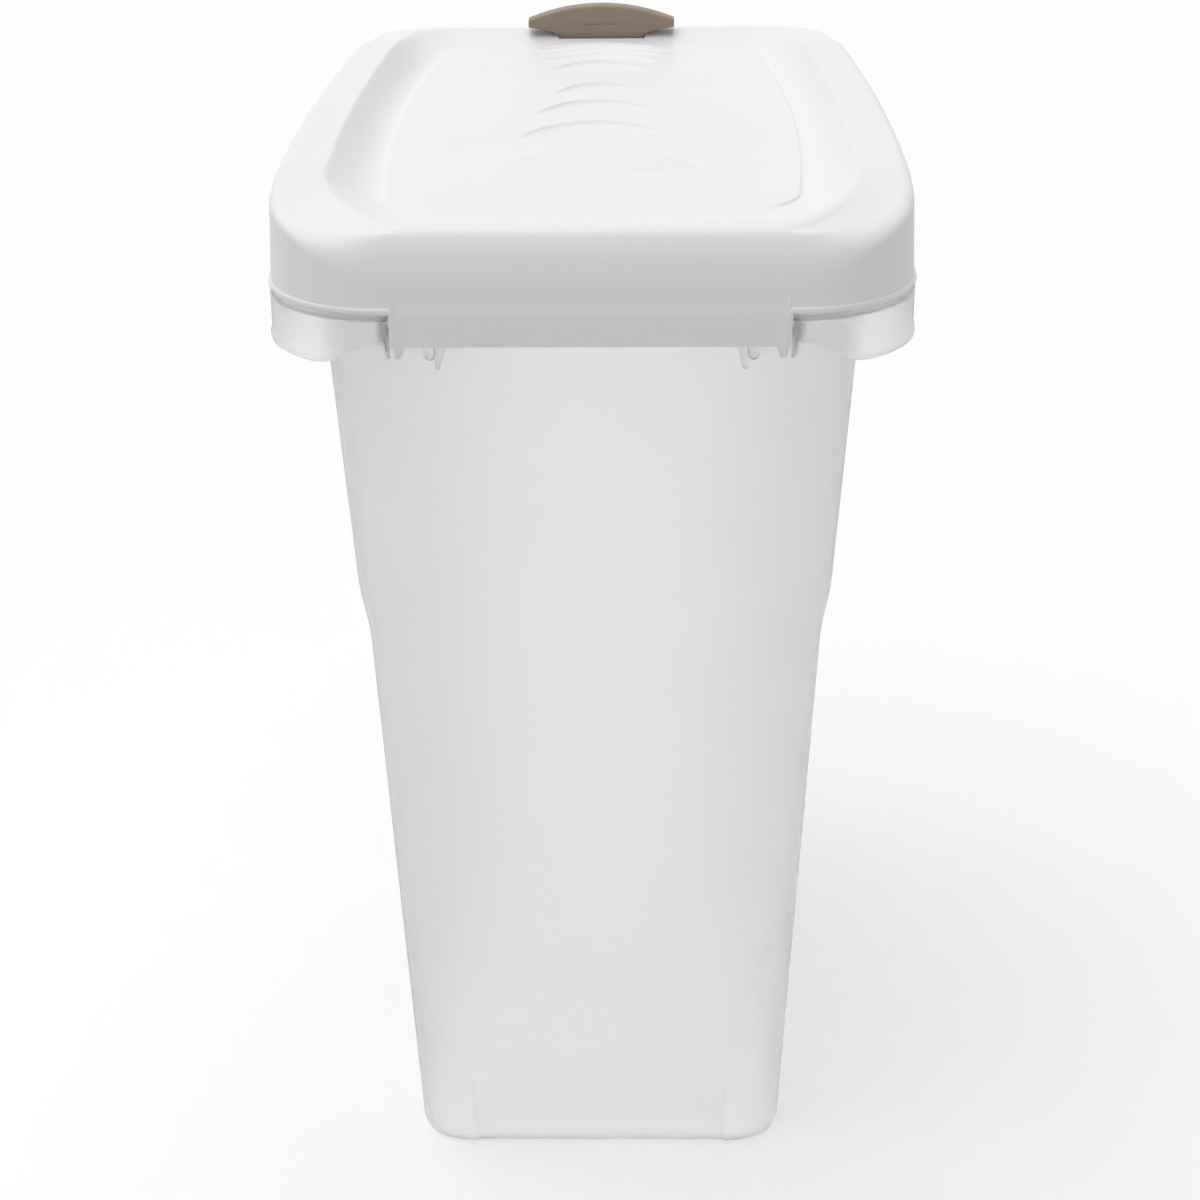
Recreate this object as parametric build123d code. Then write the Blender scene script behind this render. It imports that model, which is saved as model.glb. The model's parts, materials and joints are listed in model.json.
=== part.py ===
from build123d import *
import os

# A tall, tapered food keeper: a frosted bin, a white lid hinged on the near (-Y) side, and a thumb latch on
# the far (+Y) side. Millimetres, +Z up, origin at the bottom centre of the bin.

# Bin body: half width at the near end and half depth at each height.
BASE_HALF = 88.6
WAIST_LOW_HALF = 103.9
WAIST_HIGH_HALF = 108.6
MOUTH_HALF = 117.4
BASE_HALF_DEPTH = 172.0
MOUTH_HALF_DEPTH = 188.0
BODY_FAR_NARROWING = 12.0
BODY_CORNER_RADIUS = 24.0
BODY_BOW = 3.0
WAIST_LOW_Z = 275.0
WAIST_HIGH_Z = 306.0
RIM_TOP_Z = 446.2
BIN_WALL = 2.2
FLOOR_THICKNESS = 2.6
BASE_EDGE_RADIUS = 4.0
FOOT_WIDTH = 14.0
FOOT_HEIGHT = 1.6

# Lid outline, measured out from the bin's mouth.
LID_SIDE_REACH = 20.3
LID_NEAR_REACH = 21.5
LID_FAR_REACH = 20.0
LID_FAR_NARROWING = 18.0
LID_NEAR_RADIUS = 50.0
LID_FAR_RADIUS = 30.0
LID_BOW = 8.5

# Bin flange: the rim plate, its downturned skirt with the finger lip, and the hinge notch.
RIM_THICKNESS = 2.4
FLANGE_INSET = 0.4
SKIRT_WALL = 2.2
SKIRT_DEPTH = 25.2
SKIRT_NOTCH_DEPTH = 13.0
SKIRT_RAMP_START = 7.4
SKIRT_RAMP_LENGTH = 24.0
LIP_HEIGHT = 7.0
LIP_PROUD = 1.2
NOTCH_CORNER_GAP = 3.1
NOTCH_RIM_OVERHANG = 5.5
RIB_WIDTH = 4.0
RIB_ROOT = 1.0
RIB_TAPER_HEIGHT = 5.5

# Stop ribs under the near rim.
STOP_RIB_INSET = 19.1
STOP_RIB_WIDTH = 9.0
STOP_RIB_PROUD = 3.4
STOP_RIB_DROP = 13.0
STOP_RIB_CORNER = 3.0
STOP_RIB_CHAMFER = 1.5
STOP_SPIKE_WIDTH = 4.0
STOP_SPIKE_DROP = 18.5
STOP_SPIKE_TAPER = 0.5

# Hinge: the axis behind the lid's apron, its pins and the ears that turn on them.
HINGE_SETBACK = 7.0
HINGE_DROP = 10.2
HINGE_PIN_RADIUS = 2.5
HINGE_PIN_HEAD_RADIUS = 4.0
HINGE_PIN_HEAD = 1.6
HINGE_PIN_END_GAP = 0.5
PIN_RUNNING_GAP = 0.08
PIN_SEAT_GAP = 0.02
EAR_WIDTH = 4.4
EAR_TIP_DROP = 8.5
EAR_TIP_NEAR = 4.5
EAR_TIP_FAR = 3.5
EAR_TIP_TAPER = 2.0
HINGE_SIDE_GAP = 0.5

# Lid shell: heights above its lower edge and setbacks from its ends.
LID_WALL = 2.4
LID_EDGE_GAP = 1.4
LID_APRON_DROP = 4.0
LID_APRON_LAP = 1.0
LID_CREST_HEIGHT = 41.9
LID_SHOULDER_HEIGHT = 28.4
LID_SHOULDER_TOP_HEIGHT = 37.4
LID_END_SHOULDER_HEIGHT = 18.4
LID_DRAFT = 1.5
LID_SHOULDER_INSET = 4.0
LID_BAND_INSET = 22.0
END_SHOULDER_SETBACK = 4.0
END_SHOULDER_DROP = 5.0
NEAR_CREST_HEIGHT = 32.4
NEAR_CREST_SETBACK = 11.5
NEAR_CREASE_SETBACK = 62.5
FAR_CREST_HEIGHT = 33.9
FAR_CREST_SETBACK = 13.0
FAR_CREST_WIDTH = 5.5
FAR_CREASE_SETBACK = 88.0
BEAD_HEIGHT = 3.0
BEAD_PROUD = 1.5
TROUGH_HEIGHT = 29.4
TROUGH_INSET = 43.5
TROUGH_NEAR_SETBACK = 40.5
TROUGH_FAR_SETBACK = 48.0
RECESS_CLEARANCE = 10.0
PANEL_NEAR_HALF = 91.7
PANEL_FAR_HALF = 82.7
PANEL_BOW = 4.25
PANEL_NEAR_SETBACK = 53.5
PANEL_FAR_SETBACK = 56.0
PANEL_RADIUS = 13.0
PANEL_RAISE = 1.2

# Seal and its channel under the lid.
SEAL_WIDTH = 5.0
SEAL_HEIGHT = 3.5
SEAL_INSET = 1.5
SEAL_REST_GAP = 0.3
SEAL_SIDE_GAP = 0.2
CHANNEL_RIB = 1.8
CHANNEL_RIB_DROP = 2.0
CHANNEL_WEB = 2.0

# Latch: a rocking lever whose thumb tab stands above the lid's far border.
LATCH_SETBACK = 24.0
LATCH_HEIGHT = 20.4
LATCH_PIN_RADIUS = 2.0
LATCH_HUB_RADIUS = 5.0
NECK_HALF = 23.0
NECK_NEAR = 6.0
NECK_FAR = 2.5
TAB_HALF = 40.0
TAB_NEAR = 6.6
TAB_FAR = 4.0
TAB_FOOT_GAP = 0.1
TAB_FOOT_HALF = 30.0
TAB_END_LOW = 3.0
TAB_END_HIGH = 7.0
TAB_TOP = 15.0
TAB_EDGE_RADIUS = 1.6
ARM_HALF = 12.0
ARM_DROP = 6.5
ARM_THICKNESS = 6.0
ARM_SLOPE = 2.0
HOOK_REACH = 9.0
HOOK_THICKNESS = 3.5
HOOK_DROP = 9.2
HOOK_NOSE_REACH = 2.2
HOOK_PLATE_GAP = 0.5
LATCH_TRAVEL_GAP = 5.5
LATCH_SIDE_GAP = 0.8
BOSS_WIDTH = 5.0
BOSS_RADIUS = 5.0

# Leaf spring between the latch arm and the lid.
SPRING_THICKNESS = 0.6
SPRING_WIDTH = 14.0
SPRING_LENGTH = 8.0
SPRING_FOOT = 2.0
SPRING_SEAT_DROP = 0.6
SPRING_GAP = 0.3

# Places that follow from the sizes above.
LID_NEAR_HALF = MOUTH_HALF + LID_SIDE_REACH
LID_FAR_HALF = LID_NEAR_HALF - LID_FAR_NARROWING
LID_NEAR_Y = -(MOUTH_HALF_DEPTH + LID_NEAR_REACH)
LID_FAR_Y = MOUTH_HALF_DEPTH + LID_FAR_REACH
RIM_UNDER_Z = RIM_TOP_Z - RIM_THICKNESS
SKIRT_LOW_Z = RIM_TOP_Z - SKIRT_DEPTH
NOTCH_HALF = LID_NEAR_HALF - LID_NEAR_RADIUS - NOTCH_CORNER_GAP
NOTCH_Y = -(MOUTH_HALF_DEPTH + NOTCH_RIM_OVERHANG)
RIB_OUTER_X = NOTCH_HALF + RIB_WIDTH
HINGE_Y = LID_NEAR_Y + HINGE_SETBACK
HINGE_Z = RIM_TOP_Z - HINGE_DROP
EAR_OUTER_X = NOTCH_HALF - HINGE_SIDE_GAP
EAR_INNER_X = EAR_OUTER_X - EAR_WIDTH
EAR_TIP_Z = HINGE_Z - EAR_TIP_DROP
LID_EDGE_Z = RIM_TOP_Z + LID_EDGE_GAP
LID_CREST_Z = LID_EDGE_Z + LID_CREST_HEIGHT
LID_END_SHOULDER_Z = LID_EDGE_Z + LID_END_SHOULDER_HEIGHT
NEAR_CREST_Y = LID_NEAR_Y + NEAR_CREST_SETBACK
NEAR_CREST_Z = LID_EDGE_Z + NEAR_CREST_HEIGHT
FAR_CREST_Y = LID_FAR_Y - FAR_CREST_SETBACK
FAR_CREST_Z = LID_EDGE_Z + FAR_CREST_HEIGHT
TROUGH_Z = LID_EDGE_Z + TROUGH_HEIGHT
TROUGH_FAR_Y = LID_FAR_Y - TROUGH_FAR_SETBACK
SEAL_LOW_Z = RIM_TOP_Z + SEAL_REST_GAP
SEAL_TOP_Z = SEAL_LOW_Z + SEAL_HEIGHT
SEAL_INNER = -SEAL_INSET
SEAL_OUTER = SEAL_INNER + SEAL_WIDTH
LATCH_Y = LID_FAR_Y - LATCH_SETBACK
LATCH_Z = LID_EDGE_Z + LATCH_HEIGHT
HOOK_NEAR_Y = MOUTH_HALF_DEPTH + HOOK_REACH
HOOK_FAR_Y = HOOK_NEAR_Y + HOOK_THICKNESS
HOOK_SLOT_NEAR_Y = HOOK_NEAR_Y - HOOK_NOSE_REACH - HOOK_PLATE_GAP
LATCH_SLOT_HALF = NECK_HALF + LATCH_SIDE_GAP
LATCH_POCKET_HALF = LATCH_SLOT_HALF + BOSS_WIDTH

# Longer than the whole, for cutting blocks that run past it.
BIG = 3 * MOUTH_HALF_DEPTH


def plan(near_half, far_half, near_y, far_y, near_radius, far_radius, bow):
    """A closed outline, wider at the near end, with bowed sides and rounded corners, on the XY plane."""
    side_x = (near_half + far_half) / 2 + bow
    side_y = (near_y + far_y) / 2
    near = Line((-near_half, near_y), (near_half, near_y))
    right = ThreePointArc((near_half, near_y), (side_x, side_y), (far_half, far_y))
    far = Line((far_half, far_y), (-far_half, far_y))
    left = ThreePointArc((-far_half, far_y), (-side_x, side_y), (-near_half, near_y))
    face = make_face(Curve() + [near, right, far, left])
    face = fillet(face.vertices().group_by(Axis.Y)[0], near_radius)
    return fillet(face.vertices().group_by(Axis.Y)[-1], far_radius)


def lid_plan(inset):
    """The lid's outline at its lower edge, pulled in all round by inset."""
    return plan(
        LID_NEAR_HALF - inset,
        LID_FAR_HALF - inset,
        LID_NEAR_Y + inset,
        LID_FAR_Y - inset,
        max(LID_NEAR_RADIUS - inset, PANEL_RADIUS),
        max(LID_FAR_RADIUS - inset, PANEL_RADIUS),
        LID_BOW,
    )


def body_plan(half, half_depth, inset):
    """The bin body's outline at one height, pulled in all round by inset."""
    return plan(
        half - inset,
        half - BODY_FAR_NARROWING - inset,
        inset - half_depth,
        half_depth - inset,
        BODY_CORNER_RADIUS - inset,
        BODY_CORNER_RADIUS - inset,
        BODY_BOW,
    )


def raised(face, z):
    """The face moved up to the height z."""
    return Pos(0, 0, z) * face


def slab(face, low, high):
    """The face extruded from one height to another."""
    return extrude(raised(face, low), high - low)


def block(low, high):
    """A box between two corners."""
    sizes = [b - a for a, b in zip(low, high)]
    middle = [(a + b) / 2 for a, b in zip(low, high)]
    return Pos(*middle) * Box(*sizes)


def side_profile(points, half_width):
    """A solid whose outline is given in the YZ plane and which runs from -half_width to +half_width in X."""
    face = make_face(Polyline(*[(0, y, z) for y, z in points], close=True))
    return extrude(face, half_width, dir=(1, 0, 0), both=True)


def front_profile(points, low_y, high_y):
    """A solid whose outline is given in the XZ plane and which runs from low_y to high_y."""
    face = make_face(Polyline(*[(x, low_y, z) for x, z in points], close=True))
    return extrude(face, high_y - low_y, dir=(0, 1, 0))


def rod(radius, low_x, high_x, y, z):
    """A round bar along X."""
    return Pos((low_x + high_x) / 2, y, z) * Rot(0, 90, 0) * Cylinder(radius, high_x - low_x)


def half_depth_at(z):
    """The body's half depth at a height, from the straight taper of its near and far faces."""
    return BASE_HALF_DEPTH + (MOUTH_HALF_DEPTH - BASE_HALF_DEPTH) * z / RIM_UNDER_Z


def body_stack(inset, floor_z, top_z):
    """The tapered body with its waist step, pulled in by inset, between a floor and a top."""
    levels = [
        (floor_z, BASE_HALF),
        (WAIST_LOW_Z, WAIST_LOW_HALF),
        (WAIST_HIGH_Z, WAIST_HIGH_HALF),
        (top_z, MOUTH_HALF),
    ]
    faces = [raised(body_plan(half, half_depth_at(z), inset), z) for z, half in levels]
    return loft(faces, ruled=True)


def flange_skirt():
    """The downturned grip round the rim, with its thicker finger lip and raised ends at the hinge notch."""
    outer = lid_plan(FLANGE_INSET)
    inner = lid_plan(FLANGE_INSET + SKIRT_WALL)
    skirt = slab(outer, SKIRT_LOW_Z, RIM_UNDER_Z) - slab(inner, SKIRT_LOW_Z, RIM_UNDER_Z)
    lip = slab(lid_plan(FLANGE_INSET - LIP_PROUD), SKIRT_LOW_Z, SKIRT_LOW_Z + LIP_HEIGHT)
    lip -= slab(inner, SKIRT_LOW_Z, SKIRT_LOW_Z + LIP_HEIGHT)
    skirt += lip
    notch_z = RIM_TOP_Z - SKIRT_NOTCH_DEPTH
    ramp_start = NOTCH_HALF + SKIRT_RAMP_START
    ramp_end = ramp_start + SKIRT_RAMP_LENGTH
    ramp = [
        (-ramp_end, SKIRT_LOW_Z - LIP_HEIGHT),
        (-ramp_end, SKIRT_LOW_Z),
        (-ramp_start, notch_z),
        (ramp_start, notch_z),
        (ramp_end, SKIRT_LOW_Z),
        (ramp_end, SKIRT_LOW_Z - LIP_HEIGHT),
    ]
    return skirt - front_profile(ramp, LID_NEAR_Y - LIP_PROUD, -MOUTH_HALF_DEPTH)


def hinge_rib(side):
    """The gusset at one end of the notch that carries a hinge pin."""
    root_y = RIB_ROOT - MOUTH_HALF_DEPTH
    outline = [
        (LID_NEAR_Y + FLANGE_INSET, RIM_TOP_Z),
        (LID_NEAR_Y + FLANGE_INSET, HINGE_Z),
        (HINGE_Y - EAR_TIP_NEAR, EAR_TIP_Z),
        (HINGE_Y + EAR_TIP_NEAR, EAR_TIP_Z),
        (root_y, HINGE_Z),
        (root_y, RIM_TOP_Z),
    ]
    front = [
        (side * NOTCH_HALF, EAR_TIP_Z),
        (side * (RIB_OUTER_X - EAR_TIP_TAPER), EAR_TIP_Z),
        (side * RIB_OUTER_X, EAR_TIP_Z + RIB_TAPER_HEIGHT),
        (side * RIB_OUTER_X, RIM_TOP_Z),
        (side * NOTCH_HALF, RIM_TOP_Z),
    ]
    rib = side_profile(outline, BIG / 2) & front_profile(front, LID_NEAR_Y, root_y)
    ends = sorted((side * EAR_OUTER_X, side * (RIB_OUTER_X + HINGE_PIN_HEAD)))
    return rib - rod(HINGE_PIN_RADIUS + PIN_SEAT_GAP, *ends, HINGE_Y, HINGE_Z)


def stop_rib(side):
    """A small rib and spike under the near rim, where the lid's apron comes to rest when it is open."""
    low_z = HINGE_Z - STOP_RIB_DROP
    spike_z = HINGE_Z - STOP_SPIKE_DROP
    face_y = -half_depth_at(low_z)
    middle = side * (NOTCH_HALF - STOP_RIB_INSET)
    half = STOP_RIB_WIDTH / 2
    spike = STOP_SPIKE_WIDTH / 2
    outline = [
        (middle - half, RIM_UNDER_Z),
        (middle - half, low_z + STOP_RIB_CORNER),
        (middle - half + STOP_RIB_CHAMFER, low_z),
        (middle - spike, low_z),
        (middle - spike + STOP_SPIKE_TAPER, spike_z),
        (middle + spike - STOP_SPIKE_TAPER, spike_z),
        (middle + spike, low_z),
        (middle + half - STOP_RIB_CHAMFER, low_z),
        (middle + half, low_z + STOP_RIB_CORNER),
        (middle + half, RIM_UNDER_Z),
    ]
    return front_profile(outline, face_y - STOP_RIB_PROUD, face_y + BIN_WALL)


def make_bin():
    """The frosted bin with its rim, grip skirt, hinge ribs and latch slot."""
    body = body_stack(0, 0, RIM_UNDER_Z)
    body = fillet(body.faces().sort_by(Axis.Z)[0].edges(), BASE_EDGE_RADIUS)
    rim = slab(lid_plan(FLANGE_INSET), RIM_UNDER_Z, RIM_TOP_Z)
    shell = body + rim + flange_skirt()
    notch = block((-NOTCH_HALF, -BIG / 2, SKIRT_LOW_Z - LIP_HEIGHT), (NOTCH_HALF, NOTCH_Y, BIG))
    shell -= notch
    for side in (-1, 1):
        shell += hinge_rib(side)
        shell += stop_rib(side)
    shell -= body_stack(BIN_WALL, FLOOR_THICKNESS + FOOT_HEIGHT, RIM_TOP_Z)
    shell -= slab(body_plan(BASE_HALF, BASE_HALF_DEPTH, FOOT_WIDTH), 0, FOOT_HEIGHT)
    slot_half = ARM_HALF + LATCH_SIDE_GAP
    shell -= block((-slot_half, HOOK_SLOT_NEAR_Y, RIM_UNDER_Z - RIM_THICKNESS / 2),
                   (slot_half, HOOK_FAR_Y + LATCH_TRAVEL_GAP, BIG))
    return shell


def lid_side_outline(drop):
    """The lid's top as a side outline, lowered and pulled in by drop."""
    near = LID_NEAR_Y + drop
    far = LID_FAR_Y + BEAD_PROUD - drop
    return [
        (near, 0),
        (near, LID_END_SHOULDER_Z),
        (near + END_SHOULDER_SETBACK, NEAR_CREST_Z - END_SHOULDER_DROP - drop),
        (NEAR_CREST_Y, NEAR_CREST_Z - drop),
        (LID_NEAR_Y + NEAR_CREASE_SETBACK, LID_CREST_Z - drop),
        (LID_FAR_Y - FAR_CREASE_SETBACK, LID_CREST_Z - drop),
        (FAR_CREST_Y, FAR_CREST_Z - drop),
        (far - END_SHOULDER_SETBACK, FAR_CREST_Z - END_SHOULDER_DROP - drop),
        (far, LID_END_SHOULDER_Z),
        (far, 0),
    ]


def lid_mass(inset):
    """The lid's outer form without its recess, pulled in by inset, from its lower edge up."""
    levels = [
        (LID_EDGE_Z, 0.0),
        (LID_EDGE_Z + LID_SHOULDER_HEIGHT, LID_DRAFT),
        (LID_EDGE_Z + LID_SHOULDER_TOP_HEIGHT, LID_SHOULDER_INSET),
        (LID_CREST_Z, LID_BAND_INSET),
    ]
    faces = [raised(lid_plan(pull + inset), z - (inset if pull else 0)) for z, pull in levels]
    return loft(faces, ruled=True) & side_profile(lid_side_outline(inset), BIG / 2)


def recess(grow):
    """The dished middle of the lid, made larger and deeper by grow."""
    levels = [(TROUGH_Z, TROUGH_INSET, PANEL_RADIUS), (LID_CREST_Z, LID_BAND_INSET, LID_NEAR_RADIUS)]
    faces = []
    for z, pull, radius in levels:
        half_change = pull - grow
        outline = plan(LID_NEAR_HALF - half_change, LID_FAR_HALF - half_change, LID_NEAR_Y, LID_FAR_Y,
                       radius, PANEL_RADIUS, LID_BOW)
        faces.append(raised(outline, z - grow))
    bowl = loft(faces, ruled=True)
    bowl += slab(faces[-1], 0, RECESS_CLEARANCE)
    ends = [
        (NEAR_CREST_Y - grow, NEAR_CREST_Z - grow),
        (LID_NEAR_Y + TROUGH_NEAR_SETBACK - grow, TROUGH_Z - grow),
        (TROUGH_FAR_Y + grow, TROUGH_Z - grow),
        (FAR_CREST_Y - FAR_CREST_WIDTH + grow, FAR_CREST_Z - grow),
        (FAR_CREST_Y - FAR_CREST_WIDTH + grow, LID_CREST_Z + RECESS_CLEARANCE),
        (NEAR_CREST_Y - grow, LID_CREST_Z + RECESS_CLEARANCE),
    ]
    return bowl & side_profile(ends, BIG / 2)


def seal_ring(inner_shift, outer_shift, low_z, high_z):
    """A ring that follows the bin's mouth, between two offsets from its outer wall."""
    outer = body_plan(MOUTH_HALF, MOUTH_HALF_DEPTH, -outer_shift)
    inner = body_plan(MOUTH_HALF, MOUTH_HALF_DEPTH, -inner_shift)
    return slab(outer, low_z, high_z) - slab(inner, low_z, high_z)


def lid_ear(side):
    """The lug that turns on a hinge pin at one end of the apron."""
    outline = [
        (LID_NEAR_Y, LID_END_SHOULDER_Z),
        (LID_NEAR_Y, HINGE_Z),
        (HINGE_Y - EAR_TIP_NEAR, EAR_TIP_Z),
        (HINGE_Y + EAR_TIP_FAR, EAR_TIP_Z),
        (NOTCH_Y - HINGE_SIDE_GAP, HINGE_Z),
        (NOTCH_Y - HINGE_SIDE_GAP, LID_END_SHOULDER_Z),
    ]
    front = [
        (side * EAR_OUTER_X, EAR_TIP_Z),
        (side * (EAR_INNER_X + EAR_TIP_TAPER), EAR_TIP_Z),
        (side * EAR_INNER_X, EAR_TIP_Z + RIB_TAPER_HEIGHT),
        (side * EAR_INNER_X, LID_END_SHOULDER_Z),
        (side * EAR_OUTER_X, LID_END_SHOULDER_Z),
    ]
    ear = side_profile(outline, BIG / 2) & front_profile(front, LID_NEAR_Y, NOTCH_Y)
    ends = sorted((side * (EAR_INNER_X - EAR_WIDTH), side * NOTCH_HALF))
    return ear, rod(HINGE_PIN_RADIUS + PIN_RUNNING_GAP, *ends, HINGE_Y, HINGE_Z)


def make_lid():
    """The white lid shell with its apron, bead, seal channel, hinge ears and latch bosses."""
    outer = lid_mass(0)
    hollow = lid_mass(LID_WALL) - recess(LID_WALL)
    lid = outer - recess(0) - hollow
    bead = slab(lid_plan(-BEAD_PROUD), LID_EDGE_Z, LID_EDGE_Z + BEAD_HEIGHT)
    bead -= slab(lid_plan(LID_WALL / 2), LID_EDGE_Z, LID_EDGE_Z + BEAD_HEIGHT)
    bead -= block((-BIG, -BIG / 2, 0), (BIG, LID_NEAR_Y, BIG))
    lid += bead
    lid += block((-EAR_OUTER_X, LID_NEAR_Y, HINGE_Z - LID_APRON_DROP),
                 (EAR_OUTER_X, LID_NEAR_Y + LID_WALL, LID_EDGE_Z + LID_APRON_LAP))
    panel = plan(PANEL_NEAR_HALF, PANEL_FAR_HALF, LID_NEAR_Y + PANEL_NEAR_SETBACK, LID_FAR_Y - PANEL_FAR_SETBACK,
                 PANEL_RADIUS, PANEL_RADIUS, PANEL_BOW)
    lid += slab(panel, TROUGH_Z - LID_WALL / 2, TROUGH_Z + PANEL_RAISE)

    channel = seal_ring(SEAL_INNER - SEAL_SIDE_GAP - CHANNEL_RIB, SEAL_OUTER + SEAL_SIDE_GAP + CHANNEL_RIB,
                        SEAL_TOP_Z - CHANNEL_RIB_DROP, BIG)
    channel -= seal_ring(SEAL_INNER - SEAL_SIDE_GAP, SEAL_OUTER + SEAL_SIDE_GAP, 0, SEAL_TOP_Z)
    channel -= seal_ring(SEAL_INNER - SEAL_SIDE_GAP, SEAL_OUTER + SEAL_SIDE_GAP, SEAL_TOP_Z + CHANNEL_WEB, BIG)
    channel -= block((-LATCH_POCKET_HALF, TROUGH_FAR_Y, SEAL_TOP_Z + CHANNEL_WEB), (LATCH_POCKET_HALF, BIG, BIG))
    lid += channel & hollow

    bores = []
    for side in (-1, 1):
        ear, bore = lid_ear(side)
        lid += ear
        bores.append(bore)
        low_x, high_x = sorted((side * LATCH_SLOT_HALF, side * LATCH_POCKET_HALF))
        boss = block((low_x, LATCH_Y - BOSS_RADIUS, LATCH_Z - BOSS_RADIUS), (high_x, LATCH_Y + BOSS_RADIUS, BIG))
        lid += boss & hollow
        bores.append(rod(LATCH_PIN_RADIUS + PIN_SEAT_GAP, low_x - BOSS_WIDTH, high_x + BOSS_WIDTH, LATCH_Y, LATCH_Z))
    for bore in bores:
        lid -= bore
    slot_near_y = LATCH_Y - NECK_NEAR - 2 * LATCH_SIDE_GAP
    slot_far_y = LATCH_Y + NECK_FAR + LATCH_SIDE_GAP
    return lid - block((-LATCH_SLOT_HALF, slot_near_y, LATCH_Z + LATCH_HUB_RADIUS), (LATCH_SLOT_HALF, slot_far_y, BIG))


def make_seal():
    """The soft ring that closes on the bin's rim."""
    return seal_ring(SEAL_INNER, SEAL_OUTER, SEAL_LOW_Z, SEAL_TOP_Z)


def make_latch():
    """The latch lever: thumb tab, neck, hub, arm and hook."""
    foot_z = FAR_CREST_Z + TAB_FOOT_GAP
    low_z = FAR_CREST_Z + TAB_END_LOW
    high_z = FAR_CREST_Z + TAB_END_HIGH
    end = Line((TAB_HALF, low_z), (TAB_HALF, high_z))
    top = ThreePointArc((TAB_HALF, high_z), (0, FAR_CREST_Z + TAB_TOP), (-TAB_HALF, high_z))
    other_end = Line((-TAB_HALF, high_z), (-TAB_HALF, low_z))
    low = Polyline((-TAB_HALF, low_z), (-TAB_FOOT_HALF, foot_z), (TAB_FOOT_HALF, foot_z), (TAB_HALF, low_z))
    face = Pos(0, LATCH_Y + TAB_FAR, 0) * Rot(90, 0, 0) * make_face(Curve() + [end, top, other_end, low])
    tab = extrude(face, TAB_NEAR + TAB_FAR)
    tab = fillet(tab.edges().group_by(Axis.Y)[0] + tab.edges().group_by(Axis.Y)[-1], TAB_EDGE_RADIUS)
    neck = block((-NECK_HALF, LATCH_Y - NECK_NEAR, LATCH_Z), (NECK_HALF, LATCH_Y + NECK_FAR, low_z))
    hub = rod(LATCH_HUB_RADIUS, -NECK_HALF, NECK_HALF, LATCH_Y, LATCH_Z)
    arm_high_z = LATCH_Z - ARM_DROP
    arm_low_z = arm_high_z - ARM_THICKNESS
    nose_z = RIM_UNDER_Z - HOOK_PLATE_GAP
    hook_low_z = RIM_TOP_Z - HOOK_DROP
    hook = side_profile(
        [
            (LATCH_Y, LATCH_Z),
            (LATCH_Y, arm_low_z),
            (HOOK_NEAR_Y, arm_low_z),
            (HOOK_NEAR_Y, nose_z),
            (HOOK_NEAR_Y - HOOK_NOSE_REACH, nose_z),
            (HOOK_NEAR_Y, hook_low_z),
            (HOOK_FAR_Y, hook_low_z),
            (HOOK_FAR_Y, arm_high_z),
            (LATCH_Y + LATCH_HUB_RADIUS, arm_high_z + ARM_SLOPE),
            (LATCH_Y + LATCH_HUB_RADIUS, LATCH_Z),
        ],
        ARM_HALF,
    )
    lever = tab + neck + hub + hook
    return lever - rod(LATCH_PIN_RADIUS + PIN_RUNNING_GAP, -LATCH_SLOT_HALF, LATCH_SLOT_HALF, LATCH_Y, LATCH_Z)


def make_latch_pin():
    """The pin on which the latch rocks, held in the lid's two bosses."""
    return rod(LATCH_PIN_RADIUS, -LATCH_POCKET_HALF, LATCH_POCKET_HALF, LATCH_Y, LATCH_Z)


def make_hinge_pin(side):
    """A headed hinge pin, pushed in from outside through a bin rib into a lid ear."""
    shank_ends = sorted((side * (EAR_INNER_X + HINGE_PIN_END_GAP), side * RIB_OUTER_X))
    head_ends = sorted((side * RIB_OUTER_X, side * (RIB_OUTER_X + HINGE_PIN_HEAD)))
    shank = rod(HINGE_PIN_RADIUS, *shank_ends, HINGE_Y, HINGE_Z)
    return shank + rod(HINGE_PIN_HEAD_RADIUS, *head_ends, HINGE_Y, HINGE_Z)


def make_latch_spring():
    """A bowed leaf between the latch arm and the underside of the lid's far border."""
    low_z = LATCH_Z - ARM_DROP + ARM_SLOPE + SPRING_GAP
    high_z = FAR_CREST_Z - LID_WALL - SPRING_GAP - SPRING_SEAT_DROP
    y0 = LATCH_Y + LATCH_HUB_RADIUS + SPRING_GAP
    y1 = y0 + SPRING_LENGTH
    outline = [
        (y0, high_z),
        (y1 - SPRING_FOOT, high_z),
        (y1 - SPRING_FOOT, high_z - SPRING_THICKNESS),
        (y0 + SPRING_THICKNESS, high_z - SPRING_THICKNESS),
        (y0 + SPRING_THICKNESS, low_z + SPRING_THICKNESS),
        (y1, low_z + SPRING_THICKNESS),
        (y1, low_z),
        (y0, low_z),
    ]
    return side_profile(outline, SPRING_WIDTH / 2)


os.makedirs("parts", exist_ok=True)
pieces = {
    "bin": make_bin(),
    "lid": make_lid(),
    "lid_seal": make_seal(),
    "latch": make_latch(),
    "latch_pin": make_latch_pin(),
    "latch_spring": make_latch_spring(),
    "hinge_pin_left": make_hinge_pin(-1),
    "hinge_pin_right": make_hinge_pin(1),
}
for name, piece in pieces.items():
    export_step(piece, f"parts/{name}.step")
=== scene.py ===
"""The looks of a tall food keeper: a frosted bin, a white dished lid on a hinge, and a brown thumb latch.

Lengths are millimetres in the classes and become metres when a mesh is made. +Z is up, the hinge is on the
near (-Y) side and the thumb tab on the far (+Y) side.
"""
import json
import logging
import math
from dataclasses import dataclass, field, fields
from enum import Enum
from functools import partial
from typing import Callable, Iterable, Optional, Sequence

import bmesh
import bpy
import numpy as np
from mathutils import Matrix, Vector
from mathutils.bvhtree import BVHTree


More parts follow.
